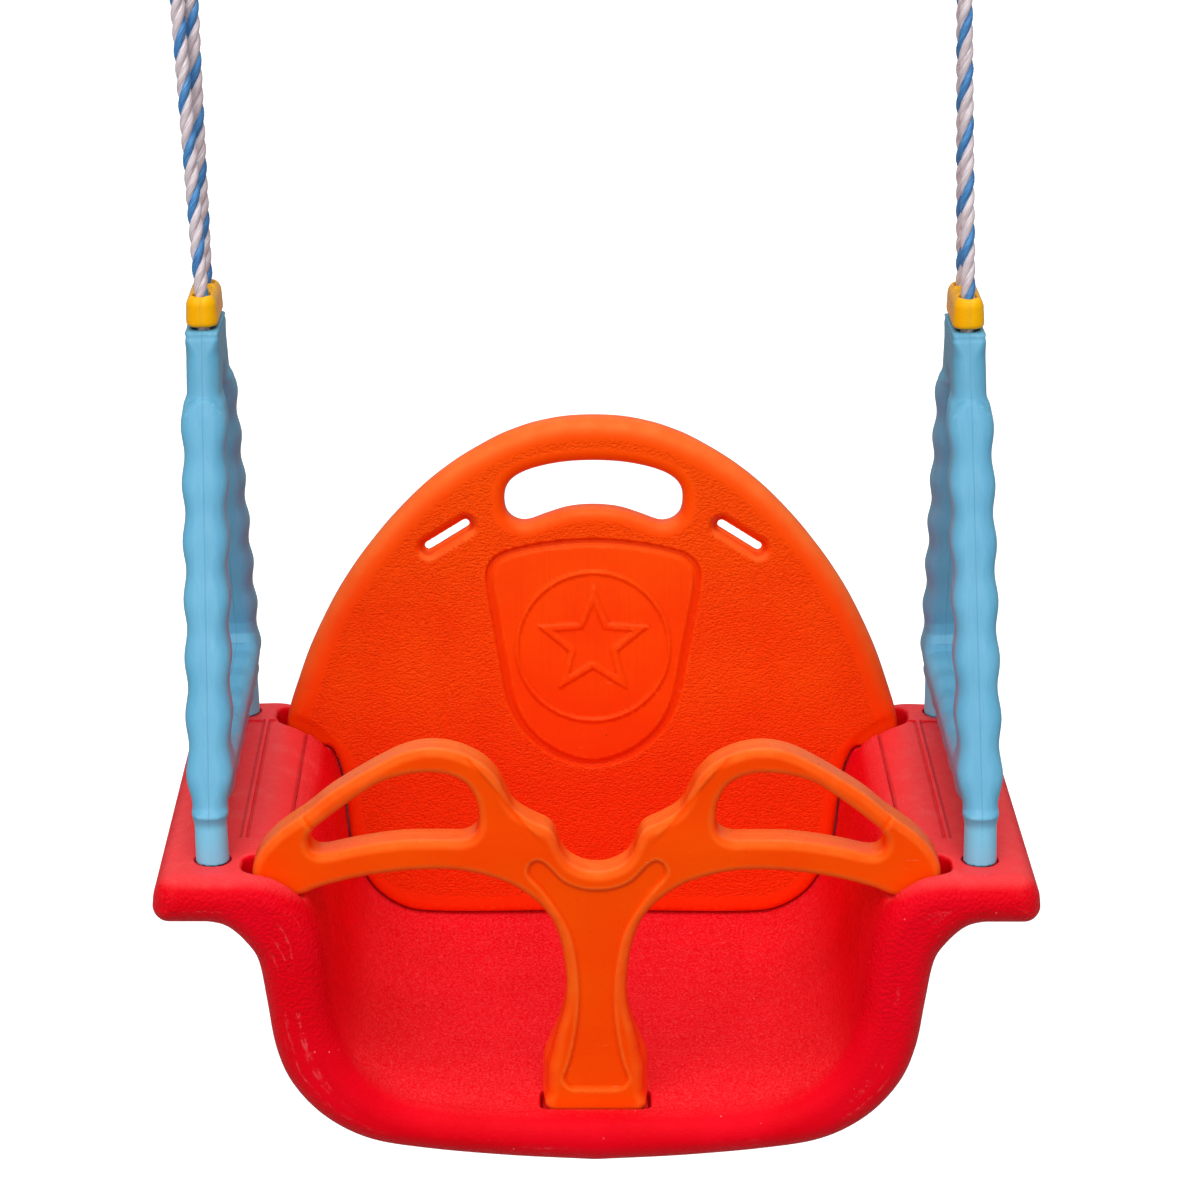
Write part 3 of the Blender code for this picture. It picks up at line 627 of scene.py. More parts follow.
def build_seat(mat):
    planes = [Plane((-0.002, -0.185), (0.254, 0.018), 0.0009,
                    lambda U, V, t=t: polygon_distance([seat_loop(t)], U, V))
              for t in np.linspace(0, 1, SEAT_KEYS)]
    stack = np.stack([p.a for p in planes])
    lo, st = planes[0].lo, planes[0].step

    def section(x, z, y):
        t = np.clip((y + 0.125) / 0.250, 0, 1) ** 1.7 * (SEAT_KEYS - 1)
        k = np.minimum(t.astype(np.int32), SEAT_KEYS - 2)
        t = t - k
        u = np.clip((np.abs(x) - lo[0]) / st, 0, stack.shape[1] - 1.001)
        v = np.clip((z - lo[1]) / st, 0, stack.shape[2] - 1.001)
        i, j = u.astype(np.int32), v.astype(np.int32)
        u, v = u - i, v - j
        out = 0
        for kk, wt in ((k, 1 - t), (k + 1, t)):
            out = out + wt * ((stack[kk, i, j] * (1 - u) + stack[kk, i + 1, j] * u) * (1 - v)
                              + (stack[kk, i, j + 1] * (1 - u) + stack[kk, i + 1, j + 1] * u) * v)
        return out

    lean = math.tan(BACK_LEAN)

    def f(x, y, z):
        ax = np.abs(x)
        d = section(x, z, y)
        body = roll(d, np.abs(y) - SEAT_HALF_DEPTH, RIM)
        # shallow strips along the flange tops
        top = z > -0.016
        strips = np.minimum(box2(ax, y, 0.1765, 0.012, 0.0112, 0.089, 0.0012),
                            box2(ax, y, 0.1972, 0.012, 0.0072, 0.089, 0.0012))
        body = np.where(top, np.maximum(body, np.minimum(-strips, body + 0.0010)), body)
        # sockets for the guard's ears and the backrest's shoulders
        cx = (0.080 + NOTCH_END) / 2
        hx = (NOTCH_END - 0.080) / 2
        fr = np.maximum(box2(ax, y, cx, -NOTCH_Y, hx, NOTCH_W / 2, 0.0095), NOTCH_FLOOR - z)
        yr = y - z * lean
        rr = np.maximum(box2(ax, yr, cx - 0.0017, NOTCH_Y, hx - 0.0017, NOTCH_W / 2, 0.0095), -0.0168 - lean * (y - BACK_FACE_Y) - z)
        body = smax(body, -fr, 0.0032)
        body = smax(body, -rr, 0.0032)
        # post pocket in the pan
        g = GUARD_T / 2 + 0.0005
        pk = np.maximum(box2(x, y, 0, GUARD_Y, 0.0293, g, 0.004), GUARD_FOOT - 0.0004 - z)
        pk = np.maximum(pk, z + 0.09)
        body = smax(body, -pk, 0.0012)
        # rope holes with a seat for the frame's feet
        for sgn in (-1, 1):
            r = np.hypot(ax - FRAME_X, y - FRAME_Y - sgn * FRAME_FOOT)
            body = smax(body, BORE_R - r, 0.0012)
            body = smax(body, -np.maximum(r - 0.0097, -0.0018 - z), 0.0008)
        return body

    strip_x = [0.1653, 0.1877, 0.1900, 0.2044]
    half = [(0, 0.140, 0.0029)]
    x = 0.140
    for sx in strip_x:
        half += [(x, sx - 0.0008, 0.0015), (sx - 0.0008, sx + 0.0008, 0.0005)]
        x = sx + 0.0008
    half += [(x, 0.2360, 0.0013)]
    hx = axis(*half)
    xs = np.concatenate([-hx[::-1][:-1], hx])
    ys = axis((-0.1412, -0.1275, 0.0016), (-0.1275, -0.0955, 0.0018), (-0.0955, -0.0782, 0.0022),
              (-0.0782, -0.0758, 0.0008), (-0.0758, 0.0995, 0.0031), (0.0995, 0.1255, 0.0019), (0.1255, 0.1412, 0.0017))
    zs = axis((-0.1675, -0.040, 0.0029), (-0.040, -0.0185, 0.0017), (-0.0185, -0.0025, 0.0013), (-0.0025, 0.0012, 0.0006))

    mid_i, mid_o = seat_halves(0.4)
    mid = (mid_i + mid_o) / 2
    seglen = np.concatenate([[0], np.cumsum(np.linalg.norm(np.diff(mid, axis=0), axis=1))])

    def extra(V, N):
        ax, y, z = np.abs(V[:, 0]), V[:, 1], V[:, 2]
        best, s = np.full(len(V), 1e9), np.zeros(len(V))
        for i in range(len(mid) - 1):
            a, e = mid[i], mid[i + 1] - mid[i]
            L = e @ e
            px, pz = ax - a[0], z - a[1]
            t = np.clip((px * e[0] + pz * e[1]) / L, 0, 1)
            d = (px - t * e[0]) ** 2 + (pz - t * e[1]) ** 2
            m = d < best
            best = np.where(m, d, best)
            s = np.where(m, seglen[i] + t * math.sqrt(L), s)
        dist = section(V[:, 0], z, y)
        off = dist + RIM
        along = np.stack([s * np.sign(V[:, 0]), y, off], 1)
        edge = step01(np.abs(y), SEAT_HALF_DEPTH - 0.020, SEAT_HALF_DEPTH - 0.004)
        shoulder = step01(z, -0.050, -0.022) * step01(ax, 0.196, 0.166)
        in_strip = np.minimum(box2(ax, y, 0.1765, 0.012, 0.0112, 0.089, 0.0012),
                              box2(ax, y, 0.1972, 0.012, 0.0072, 0.089, 0.0012)) < 0.0002
        edge_g = edge * (0.22 + 0.78 * step01(z, -0.115, -0.060))
        rim = np.maximum(edge_g, shoulder * 0.9)
        rim = np.where(in_strip & (z > -0.012), 0.04, rim)
        under = step01(-N[:, 2], 0.0, 0.5)
        rim = np.maximum(rim, under * 0.7)
        pan = step01(-z, 0.060, 0.110) * step01(N[:, 2], 0.15, 0.7) * (1 - edge)
        # worn line where the mould halves met, on the outer half of the rolled rim
        outward = np.where(N[:, 0] * np.sign(V[:, 0]) - N[:, 2] > 0, 1.0, -1.0)
        line = np.exp(-((off * outward - 0.0030) / 0.0010) ** 2) * step01(np.abs(y), SEAT_HALF_DEPTH - 0.016, SEAT_HALF_DEPTH - 0.007) * step01(ax, 0.2240, 0.2150)
        # up-facing flange tops, the mask of the painted sheen
        tops = step01(N[:, 2], 0.55, 0.95) * step01(z, -0.034, -0.012) * step01(ax, 0.150, 0.158)
        return {"rim": rim, "pan": pan, "along": along, "partline": line, "tops": tops}

    ob = skin("seat_shell", f, xs, ys, zs, Matrix.Translation((0, 0, FZ)), [mat], extra, rounds=4, lam=0.45)
    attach(ob, "swing_seat")
    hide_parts("seat")
    return f


# ------------------------------------------------------------ backrest
DOME = [(0, 178.4), (17, 177.5), (33, 174.4), (45, 170.5), (56, 165.8), (72, 156.8), (85, 148.0),
        (96, 139.1), (105, 130.6), (113.7, 121.5), (122.2, 111.7), (135.2, 94.8), (147, 76.6),
        (156.6, 58.3), (164.7, 40.3), (171.2, 22), (176, 7), (178.3, -4), (177, -10.5), (172, -14.6),
        (165, -17.0), (159, -20.0), (154.5, -24.0), (151.0, -28.0)]
HAND_HOLE = [(0, 125.6), (14, 124.4), (26, 120.8), (37.5, 116.7), (44.6, 117.6), (49.8, 122.3),
             (51.2, 130), (49.7, 138), (44, 144), (33, 148.6), (17, 151.8), (0, 152.7)]
SHIELD = [(0, 108.5), (28, 106.2), (49.5, 101.5), (58, 96.5), (62, 89.5), (62, 79.5), (58, 55),
          (54, 31.7), (49.5, 10), (39.5, -8.5), (22, -22.5), (0, -28.6)]


def star(cx, cz, ro, ri, n=5):
    return np.array([(cx + (ro if k % 2 == 0 else ri) * math.sin(math.pi * k / n),
                      cz + (ro if k % 2 == 0 else ri) * math.cos(math.pi * k / n)) for k in range(2 * n)])


def capsule(u, v, cu, cv, half, ang):
    c, s = math.cos(ang), math.sin(ang)
    du, dv = u - cu, v - cv
    a, b = du * c + dv * s, -du * s + dv * c
    return np.hypot(np.maximum(np.abs(a) - half, 0), b)


def build_back(mat, seat_f):
    t = ((BACK_FACE_Y + 0.008 + 0.125) / 0.25) ** 1.7
    below = [p for p in seat_halves(t, 2)[0][::-1] if p[1] < -0.0300]
    low = []
    for i, p in enumerate(below):
        a, b = below[max(i - 1, 0)], below[min(i + 1, len(below) - 1)]
        e = (b - a) / np.linalg.norm(b - a)
        q = p - np.array([e[1], -e[0]]) * 0.0030
        low.append((max(0.0, q[0]) * 1000, q[1] * 1000 - 1.0))
    dome = outline([mirrored([(x * 0.9985, z) for x, z in DOME] + low, 4)])
    hole = outline([mirrored(HAND_HOLE, 5)])
    shield = outline([mirrored(SHIELD, 5)])
    big = outline([star(0, 0.046, 0.034, 0.0150)], 0.0004)
    T = BACK_T

    def relief(u, v):
        """Depth of the front face below its plane."""
        ds = shield(u, v)
        moat = step01(ds, 0.0002, -0.0011) * step01(ds, -0.0056, -0.0030)
        d = 0.0021 * moat + 0.0004 * step01(ds, -0.0030, -0.0056)
        st = big(u, v)
        ring = np.abs(np.hypot(u, v - 0.044) - 0.0440)
        d = d - 0.0010 * step01(st, 0.0006, -0.0009) + 0.0008 * step01(st, -0.0030, -0.0046)
        d = d - 0.0010 * step01(ring, 0.0019, 0.0003)
        au = np.abs(u)
        slot_c = capsule(au, v, 0.0842, 0.109, 0.0125, -math.radians(32))
        d = d + 0.0062 * step01(slot_c, 0.0080, 0.0026)
        return d

    cl, sl = math.cos(BACK_LEAN), math.sin(BACK_LEAN)

    def f(u, w, v):
        slot_c = capsule(np.abs(u), v, 0.0842, 0.109, 0.0125, -math.radians(32))
        face = np.maximum(-w + relief(u, v), w - T + 0.0105 * step01(slot_c, 0.0085, 0.0030))
        k = step01(v, -0.006, 0.020)
        outer = roll(dome(u, v), face, 0.0050 + 0.0070 * k, 0.0045 + 0.0047 * k)
        inner = roll(-hole(u, v), face, 0.0072, 0.0072)
        slots = roll(0.0023 - slot_c, face, 0.0010, 0.0010)
        body = np.maximum(np.maximum(outer, inner), slots)
        # the lower edge follows the inside of the seat, a hair clear of it
        low = v < 0.006
        if np.any(low):
            ww = np.broadcast_to(w, v.shape)[low]
            uu = np.broadcast_to(u, v.shape)[low]
            vv = v[low]
            y = BACK_FACE_Y + ww * cl + vv * sl
            z = 0.0003 - ww * sl + vv * cl
            clear = 0.0005 - seat_f(uu, y, z)
            body[low] = smax(body[low], clear, 0.0075)
        return body

    f_safe = f

    xs = axis((-0.1800, 0.1800, 0.00148))
    ys = axis((-0.0012, 0.0045, 0.0009), (0.0045, 0.0165, 0.0016), (0.0165, 0.0222, 0.0014))
    zs = axis((-0.1175, 0.1785, 0.00148))

    def extra(V, N):
        u, v = V[:, 0], V[:, 2]
        d = dome(u, v)
        grain = step01(-d, 0.0105, 0.0150) * step01(hole(u, v), 0.0060, 0.0095)
        grain = grain * step01(shield(u, v), -0.0002, 0.0012)
        slot_c = capsule(np.abs(u), v, 0.0842, 0.109, 0.0125, -math.radians(32))
        grain = grain * step01(slot_c, 0.0055, 0.0085)
        grain = np.where(N[:, 1] > 0.5, 0.9 * step01(-d, 0.0105, 0.0150), grain)
        # painted highlight: the upward-facing upper edge of the rim, of the hand hole and of the slots is painted paler
        crest = step01(-d, 0.0135, 0.0040) * step01(N[:, 2], -0.10, 0.55) * step01(v, 0.0, 0.03)
        crest = np.maximum(crest, 0.7 * step01(N[:, 2], 0.25, 0.8) * step01(hole(u, v), 0.0085, 0.002) * step01(v, 0.09, 0.10))
        crest = np.maximum(crest, 0.8 * step01(N[:, 2], 0.15, 0.6) * step01(slot_c, 0.0090, 0.0060))
        return {"grain": grain, "floor": step01(-shield(u, v), 0.0002, 0.0030), "crest": crest}

    world = (Matrix.Translation((0, BACK_FACE_Y, FZ + 0.0003)) @ Matrix.Rotation(-BACK_LEAN, 4, "X"))
    ob = skin("backrest_panel", f_safe, xs, ys, zs, world, [mat], extra, rounds=3, lam=0.35, nh=0.00035)
    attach(ob, "backrest")
    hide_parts("backrest")
    return ob


# ------------------------------------------------------------ front guard
GUARD = [(0, -1.5), (7, -0.5), (14.5, 3.5), (19, 10), (22, 18), (26, 23), (35, 27.5), (43.5, 33.5),
         (48, 42), (52.5, 51), (60, 59), (70.5, 64.6), (81, 67.3), (91.5, 67.3), (102.5, 64.3),
         (113, 59), (124, 52.5), (140, 42), (151, 32.7), (160, 26.2), (168.5, 19.5), (176.5, 10.5),
         (180.7, 2), (181, -6), (177.5, -12.5), (170, -15.6), (161, -16), (153, -13.8), (145, -10.4),
         (125, -5), (103, -1.6), (81.5, -0.6), (65, -2.5), (49.5, -7.3), (40, -12.5), (30, -21),
         (23, -31), (19, -43), (16.8, -56), (16, -68.5), (17, -80), (20.2, -92.5), (24.5, -103),
         (28.2, -113), (28.7, -124), (28.7, -135), (26.5, -140), (21.5, -142), (0, -142)]
GUARD_LOOP = [(151.5, 15.5), (149, 21.5), (142, 27.5), (134.5, 33.5), (124, 41.2), (113, 48.2), (100, 52.4),
              (86, 53.5), (75.5, 51.5), (68, 46.3), (63.4, 37.5), (62, 27), (64, 20), (70.5, 16.4),
              (81.5, 16.3), (103, 15.9), (125, 12.6), (142, 8.8), (149, 9.8)]
POST_PANEL = [(0, -10.8), (9, -9.6), (17.8, -5.4), (25.8, 3.2), (30.4, 6.0), (35, 4.6), (36.8, 0),
              (35.6, -4.3), (28.7, -12.3), (19.9, -25.5), (13.8, -38.7), (10.5, -56), (9.5, -75.3),
              (11.2, -94), (14.3, -110), (17.4, -119.9), (15.6, -125.3), (11.5, -127.1), (0, -127.5)]


def build_guard(mat):
    outer = outline([mirrored(GUARD, 4)])
    loop = outline([closed(np.array(GUARD_LOOP) / 1000, 4)])
    panel = outline([mirrored(POST_PANEL, 4)])
    H = GUARD_T / 2
    # the grip arm of each loop lies between two small steps
    s1, s2 = np.array([0.1546, 0.0286]), np.array([0.0614, 0.0567])
    n1, n2 = np.array([-0.80, 0.60]), np.array([0.78, -0.62])

    def arm(au, v):
        a = (au - s1[0]) * n1[0] + (v - s1[1]) * n1[1]
        b = (au - s2[0]) * n2[0] + (v - s2[1]) * n2[1]
        up = step01(v, 0.008, 0.036)
        return step01(a, -0.0010, 0.0016) * step01(b, -0.0010, 0.0016) * up

    def f(x, y, z):
        au = np.abs(x)
        m = arm(au, z)
        d_out, d_loop = outer(x, z), -loop(au, z)
        pan = panel(x, z)
        relief = 0.0016 * step01(pan, 0.0006, -0.0018) + 0.0012 * m
        draft = 0.0044 * step01(z, -0.090, -0.114) * (1 - 0.75 * step01(z, -0.128, -0.139)) * np.clip((H - y) / (2 * H), 0, 1)
        ledge = 0.0
        # front part, on the same outline as the back part, up to the parting plane
        wf = -y - H + relief
        e = ledge + draft
        fo = roll(d_out + e, wf, 0.0046, 0.0050)
        fl = roll(d_loop + e, wf, 0.0044, 0.0050)
        front = np.maximum(np.maximum(fo, fl), y - 0.0030)
        dr = draft * 1.0
        wb2 = y - H
        bo = np.maximum(roll(d_out + dr, wb2, 0.0026), 0.0020 - y)
        bl = np.maximum(roll(d_loop + dr, wb2, 0.0026), 0.0020 - y)
        back = np.maximum(bo, bl)
        return np.minimum(front, back)

    xs = axis((-0.1825, 0.1825, 0.00130))
    ys = axis((-0.0118, -0.0040, 0.0011), (-0.0040, 0.0010, 0.0013), (0.0010, 0.0034, 0.0006), (0.0034, 0.0118, 0.0013))
    zs = axis((-0.1436, 0.0690, 0.00130))
    world = Matrix.Translation((0, GUARD_Y, FZ))
    # upward-facing surfaces, the mask of the painted sheen
    extra = lambda V, N: {"ups": step01(N[:, 2], 0.25, 0.85) * step01(N[:, 1], -0.75, -0.35)}
    ob = skin("front_guard_panel", f, xs, ys, zs, world, [mat], extra, rounds=3, lam=0.35, nh=0.00035)
    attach(ob, "front_guard")
    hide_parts("front_guard")
    return ob


# ------------------------------------------------------------ side frames, guides, ropes
def side_matrix(side):
    s = -1 if side == "left" else 1
    return Matrix.Translation((s * FRAME_X, FRAME_Y, FZ + 0.0005)) @ Matrix.Rotation(FRAME_LEAN, 4, "Y")


def frame_loops():
    front = lambda z: -HEAD_HALF - LEG_SLOPE * (FRAME_TOP - z)
    wave = lambda z: 0.00025 * np.cos(2 * np.pi * (0.216 - z) / WAVE)
    zs = np.linspace(0.216, 0.216 - WAVE / 2 * 13, 79)
    half = [(0.0, FRAME_TOP), (-HEAD_HALF + 0.002, FRAME_TOP), (-HEAD_HALF - 0.0004, FRAME_TOP - 0.0015),
            (front(0.245), 0.245), (front(0.229) + 0.0005, 0.229), (front(0.222) - 0.0002, 0.222)]
    half += [(front(z) - wave(z), z) for z in zs]
    foot = -FRAME_FOOT
    half += [(foot - 0.0092, 0.0262), (foot - 0.0060, 0.0230), (foot - 0.002, 0.0216), (foot + 0.004, 0.0216), (foot + 0.012, 0.0242)]
    ys = np.linspace(foot + 0.014, 0, 40)[1:]
    half += [(y, BAR_LOW + 0.0009 * math.cos(2 * math.pi * y / 0.0325)) for y in ys]
    outer = half + [(-y, z) for y, z in reversed(half) if y < -1e-6]
    inner = lambda z: front(z) + LEG_W
    hs = [z for z in zs if 0.062 < z < 0.217]
    hole = [(0.0, ARCH_Z), (-0.004, ARCH_Z - 0.0012), (-0.0085, ARCH_Z - 0.0055), (inner(0.224) + 0.0012, 0.223)]
    hole += [(inner(z) + wave(z), z) for z in hs]
    hole += [(inner(0.057) + 0.0016, 0.0575), (inner(0.053) + 0.0055, 0.0525), (inner(0.052) + 0.012, BAR_TOP + 0.0006)]
    bar = [(y, BAR_TOP + 0.0009 * math.cos(2 * math.pi * y / 0.0325)) for y in np.linspace(-0.062, -0.0015, 34)]
    hole += bar
    hole = hole + [(-y, z) for y, z in reversed(hole) if y < -1e-6]
    return np.array(outer), np.array(hole)


def rope_in_frame(sign):
    """Centre line of a strand through the guide, leg and foot, in (Y, Z)."""
    pts = [(HOLE_Y, FRAME_TOP + GUIDE_H + 0.001), (HOLE_Y, FRAME_TOP - 0.002), (HOLE_Y + 0.0012, FRAME_TOP - 0.008)]
    top, low = (HOLE_Y + 0.0032, FRAME_TOP - 0.014), (FRAME_FOOT - 0.0062, 0.034)
    pts += [(top[0] + (low[0] - top[0]) * i / 4, top[1] + (low[1] - top[1]) * i / 4) for i in range(5)]
    pts += [(FRAME_FOOT - 0.0022, 0.0235), (FRAME_FOOT - 0.0004, 0.0165), (FRAME_FOOT, 0.009)]
    return [(sign * y, z) for y, z in pts]


def build_frame(side, mat, planes):
    outer, hole, bore = planes

    def f(x, y, z):
        ax = np.abs(x)
        w = 2 * np.pi * (0.216 - z) / WAVE
        # the legs step out from the head along a soft arch, lower at the sides
        bound = 0.2305 - 0.0085 * (ax / LEG_T) ** 2
        k = step01(z, bound + 0.0010, bound - 0.0010)
        half = HEAD_T + (LEG_T - HEAD_T + WAVE_A * np.cos(w)) * step01(z, 0.2322, 0.2258)
        foot = step01(z, 0.046, 0.028) * step01(np.abs(y), FRAME_FOOT - 0.019, FRAME_FOOT - 0.011)
        half = half - 0.0015 * foot
        inset = 0.0014 * (1 - k)
        r_out = 0.0078 - 0.0060 * step01(z, 0.250, 0.262)
        g = np.maximum(roll(outer(y, z) + inset, ax - half, r_out), roll(-hole(y, z) + 0.0004, ax - half, 0.0062))
        # a low lip round the cut top of the head
        g = g + 0.0004 * step01(z, 0.2590, 0.2604) * step01(z, 0.2626, 0.2612)
        # necks of the feet
        r = np.hypot(x, np.abs(y) - FRAME_FOOT)
        draft = 0.0088 - 0.0003 * np.clip(z / 0.02, 0, 1)
        neck = roll(r - draft, np.maximum(-0.0012 - z, z - 0.0262), 0.0007)
        g = smin(g, neck, 0.0040)
        # rope bores
        b = np.hypot(bore(np.abs(y), z), x)
        return smax(g, BORE_R - b, 0.0008)

    xs = axis((-0.0142, 0.0142, 0.00142))
    ys = axis((-0.1275, 0.1275, 0.00142))
    zs = axis((-0.0026, 0.0060, 0.0011), (0.0060, 0.2560, 0.00142), (0.2560, 0.2668, 0.0010))

    def extra(V, N):
        face = step01(np.abs(N[:, 0]), 0.8, 0.5)
        seam = np.where(face > 0.02, V[:, 0], 1.0)
        return {"seam": seam}

    world = side_matrix(side)
    V, Q = contour(f, xs, ys, zs)
    V = settle(f, V, Q, 3, 0.35)
    N = field_grad(f, V, 0.0004)
    N /= np.maximum(np.linalg.norm(N, axis=1), 1e-9)[:, None]
    # torn flash left round the top of the head
    seed = 3.0 if side == "left" else 8.0
    lump = (np.sin(V[:, 0] * 2300 + seed) * np.sin(V[:, 1] * 1700 + 2 * seed) + np.sin(V[:, 0] * 900 - V[:, 1] * 2900 + seed)) * 0.5
    flash = step01(V[:, 2], 0.2612, 0.2636) * np.maximum(lump, 0) * step01(np.maximum(np.abs(N[:, 0]), np.abs(N[:, 1])), 0.3, 0.8)
    V = V + N * (0.0009 * flash)[:, None]
    V[:, 2] = np.minimum(V[:, 2], FRAME_TOP - 0.0001)
    attrs = {"loc": V, "curv": np.clip(curvature(f, V) / 400, -2, 2)}
    attrs.update(extra(V, N))
    ob = add_mesh("side_frame_shell_" + side, V, Q, world, attrs, N, [mat])
    print("PIECE", ob.name, len(V), len(Q))
    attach(ob, "side_frame_" + side)
    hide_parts("side_frame_" + side)
    return ob


def build_guide(side, mat):
    gx, gy = GUIDE_HALF

    def f(x, y, z):
        d = box2(x, y, 0, 0, gx, gy, 0.0066)
        draw = 0.0007 * np.clip((z - 0.004) / 0.0135, 0, 1)
        top = roll(d + draw, z - GUIDE_H, 0.0052, 0.0062)
        low = roll(d, -z, 0.0024)
        body = np.maximum(top, low)
        # a shallow waist between the two rope holes, on top
        dip = 0.0016 * step01(np.abs(y), 0.0075, 0.0030)
        body = smax(body, z - GUIDE_H + dip, 0.0012)
        h = np.hypot(x, np.maximum(np.abs(np.abs(y) - HOLE_Y) - 0.0008, 0))
        flare = 0.0007 * step01(z, GUIDE_H - 0.0025, GUIDE_H)
        return smax(body, 0.0046 + flare - h, 0.0010)

    n = 0.00062
    xs = axis((-0.0098, 0.0098, n))
    ys = axis((-0.0232, 0.0232, n))
    zs = axis((-0.0010, 0.0188, n))
    world = side_matrix(side) @ Matrix.Translation((0, 0, FRAME_TOP + 0.0003))
    extra = lambda V, N: {"seam": np.where(np.abs(N[:, 1]) > 0.6, V[:, 0], 1.0)}
    ob = skin("rope_guide_block_" + side, f, xs, ys, zs, world, [mat], extra, rounds=3, lam=0.35, nh=0.0003)
    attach(ob, "rope_guide_" + side)
    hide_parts("rope_guide_" + side)
    return ob


LAY = 0.0285
STRAND_R = ROPE_R / (1 + 2 / math.sqrt(3))


def rope_line(side):
    """Centre line of one rope, front top to rear top, in the row frame."""
    s = -1 if side == "left" else 1
    M = side_matrix(side)
    (tx, ty), (ox, oy) = ROPE_TOP[side]
    parts = {}
    for name, sign in (("front", -1), ("rear", 1)):
        top = Vector((tx - sign * ox, ty - sign * oy, 0.0))
        low = [M @ Vector((0, y, z)) for y, z in rope_in_frame(sign)]
        parts[name] = [top + (low[0] - top) * (i / 9) for i in range(9)] + low
    x = s * FRAME_X
    y0, y1 = FRAME_Y - FRAME_FOOT, FRAME_Y + FRAME_FOOT
    zb, r = FZ - FLANGE_T - 0.0022 - ROPE_R, 0.010
    bend = [Vector((x, y0 + r - r * math.cos(a), zb + r - r * math.sin(a))) for a in np.linspace(0, math.pi / 2, 6)]
    under = [Vector((x, y0 + (y1 - y0) * k, zb)) for k in (0.25, 0.5, 0.75)]
    back = [Vector((x, y0 + y1 - p.y, p.z)) for p in reversed(bend)]
    path = parts["front"] + [Vector((x, y0, FZ - 0.004))] + bend + under + back
    path += [Vector((x, y1, FZ - 0.004))] + list(reversed(parts["rear"]))
    return np.array([tuple(p) for p in path])


def resample(P, step):
    seg = np.linalg.norm(np.diff(P, axis=0), axis=1)
    s = np.concatenate([[0], np.cumsum(seg)])
    n = int(round(s[-1] / step))
    t = np.linspace(0, s[-1], n + 1)
    return np.stack([np.interp(t, s, P[:, a]) for a in range(3)], 1), t


def build_rope(side, mats):
    P, t = resample(rope_line(side), 0.0014)
    for _ in range(12):                      # ease the corners of the path
        Q = P.copy()
        Q[1:-1] = 0.25 * P[:-2] + 0.5 * P[1:-1] + 0.25 * P[2:]
        P = Q
    T = np.gradient(P, axis=0)
    T /= np.linalg.norm(T, axis=1)[:, None]
    A = np.cross(T, [1.0, 0, 0])
    A /= np.linalg.norm(A, axis=1)[:, None]
    B = np.cross(T, A)
    sides, lobes = 14, 7
    off = ROPE_R - 1.2 * STRAND_R
    verts, faces, fibre, deep, mat_ids = [], [], [], [], []
    n = len(P)
    phase0 = 0.6 if side == "left" else 2.4
    for k in range(3):
        th = (2 * math.pi * t / LAY + 2 * math.pi * k / 3 + phase0)
        wob = 1 + 0.015 * np.sin(t * 410 + k * 2.1) + 0.010 * np.sin(t * 977 + k)
        C = P + (A * np.cos(th)[:, None] + B * np.sin(th)[:, None]) * off
        base = len(verts) and sum(len(v) for v in verts)
        ST = np.gradient(C, axis=0)
        ST /= np.linalg.norm(ST, axis=1)[:, None]
        U = A * np.cos(th)[:, None] + B * np.sin(th)[:, None]
        U -= ST * (U * ST).sum(1)[:, None]
        U /= np.linalg.norm(U, axis=1)[:, None]
        W = np.cross(ST, U)
        ring = []
        for j in range(sides):
            a = 2 * math.pi * j / sides
            yarn = 1 + 0.045 * np.cos(lobes * (a + t * 2 * math.pi / 0.021) + k)
            r = STRAND_R * 1.2 * wob * yarn
            ring.append(C + (U * math.cos(a) + W * math.sin(a)) * r[:, None])
            fibre.append(np.stack([t, np.full(n, a) + t * 2 * math.pi / 0.021 * 0, np.full(n, float(k) * 7.3)], 1))
            deep.append(np.full(n, 0.5 - 0.5 * math.cos(a)))
        V = np.stack(ring, 1).reshape(-1, 3)            # ring-major: n rings of `sides`
        verts.append(V)
        i = np.arange(n - 1)[:, None] * sides
        j = np.arange(sides)[None, :]
        jn = (j + 1) % sides
        q = np.stack([i + j, i + sides + j, i + sides + jn, i + jn], -1).reshape(-1, 4) + base
        faces += q.tolist()
        mat_ids += [1 if k == 0 else 0] * len(q)
        faces.append([base + x for x in range(sides)])
        faces.append([base + (n - 1) * sides + x for x in reversed(range(sides))])
        mat_ids += [1 if k == 0 else 0] * 2
    V = np.vstack(verts)
    V[:, 2] = np.minimum(V[:, 2], 0.0)
    order = lambda lst: np.concatenate([np.stack(lst[k * sides:(k + 1) * sides], 1).reshape(n * sides, -1) for k in range(3)])
    fib, dp = order(fibre), order([d[:, None] for d in deep])[:, 0]
    ob = add_mesh("laid_rope_" + side, V, faces, Matrix.Identity(4), {"fibre": fib, "deep": dp, "loc": V}, None, mats)
    ob.data.polygons.foreach_set("material_index", np.array(mat_ids, np.int32))
    ob.data.update()
    print("PIECE", ob.name, len(V), len(faces))
    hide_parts("rope_" + side, f"rope_end_{side}_front", f"rope_end_{side}_rear")
    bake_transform(ob)
    return ob


# ------------------------------------------------------------ build
MAT_SEAT, MAT_BACK, MAT_GUARD = seat_material(), back_material(), guard_material()
MAT_FRAME, MAT_GUIDE = frame_material(), guide_material()
MAT_ROPE = [rope_material("rope_white_filament", srgb(250, 240, 242), srgb(236, 222, 227), srgb(192, 174, 181)),
            rope_material("rope_blue_filament", srgb(96, 178, 232), srgb(58, 136, 206), srgb(38, 84, 156))]

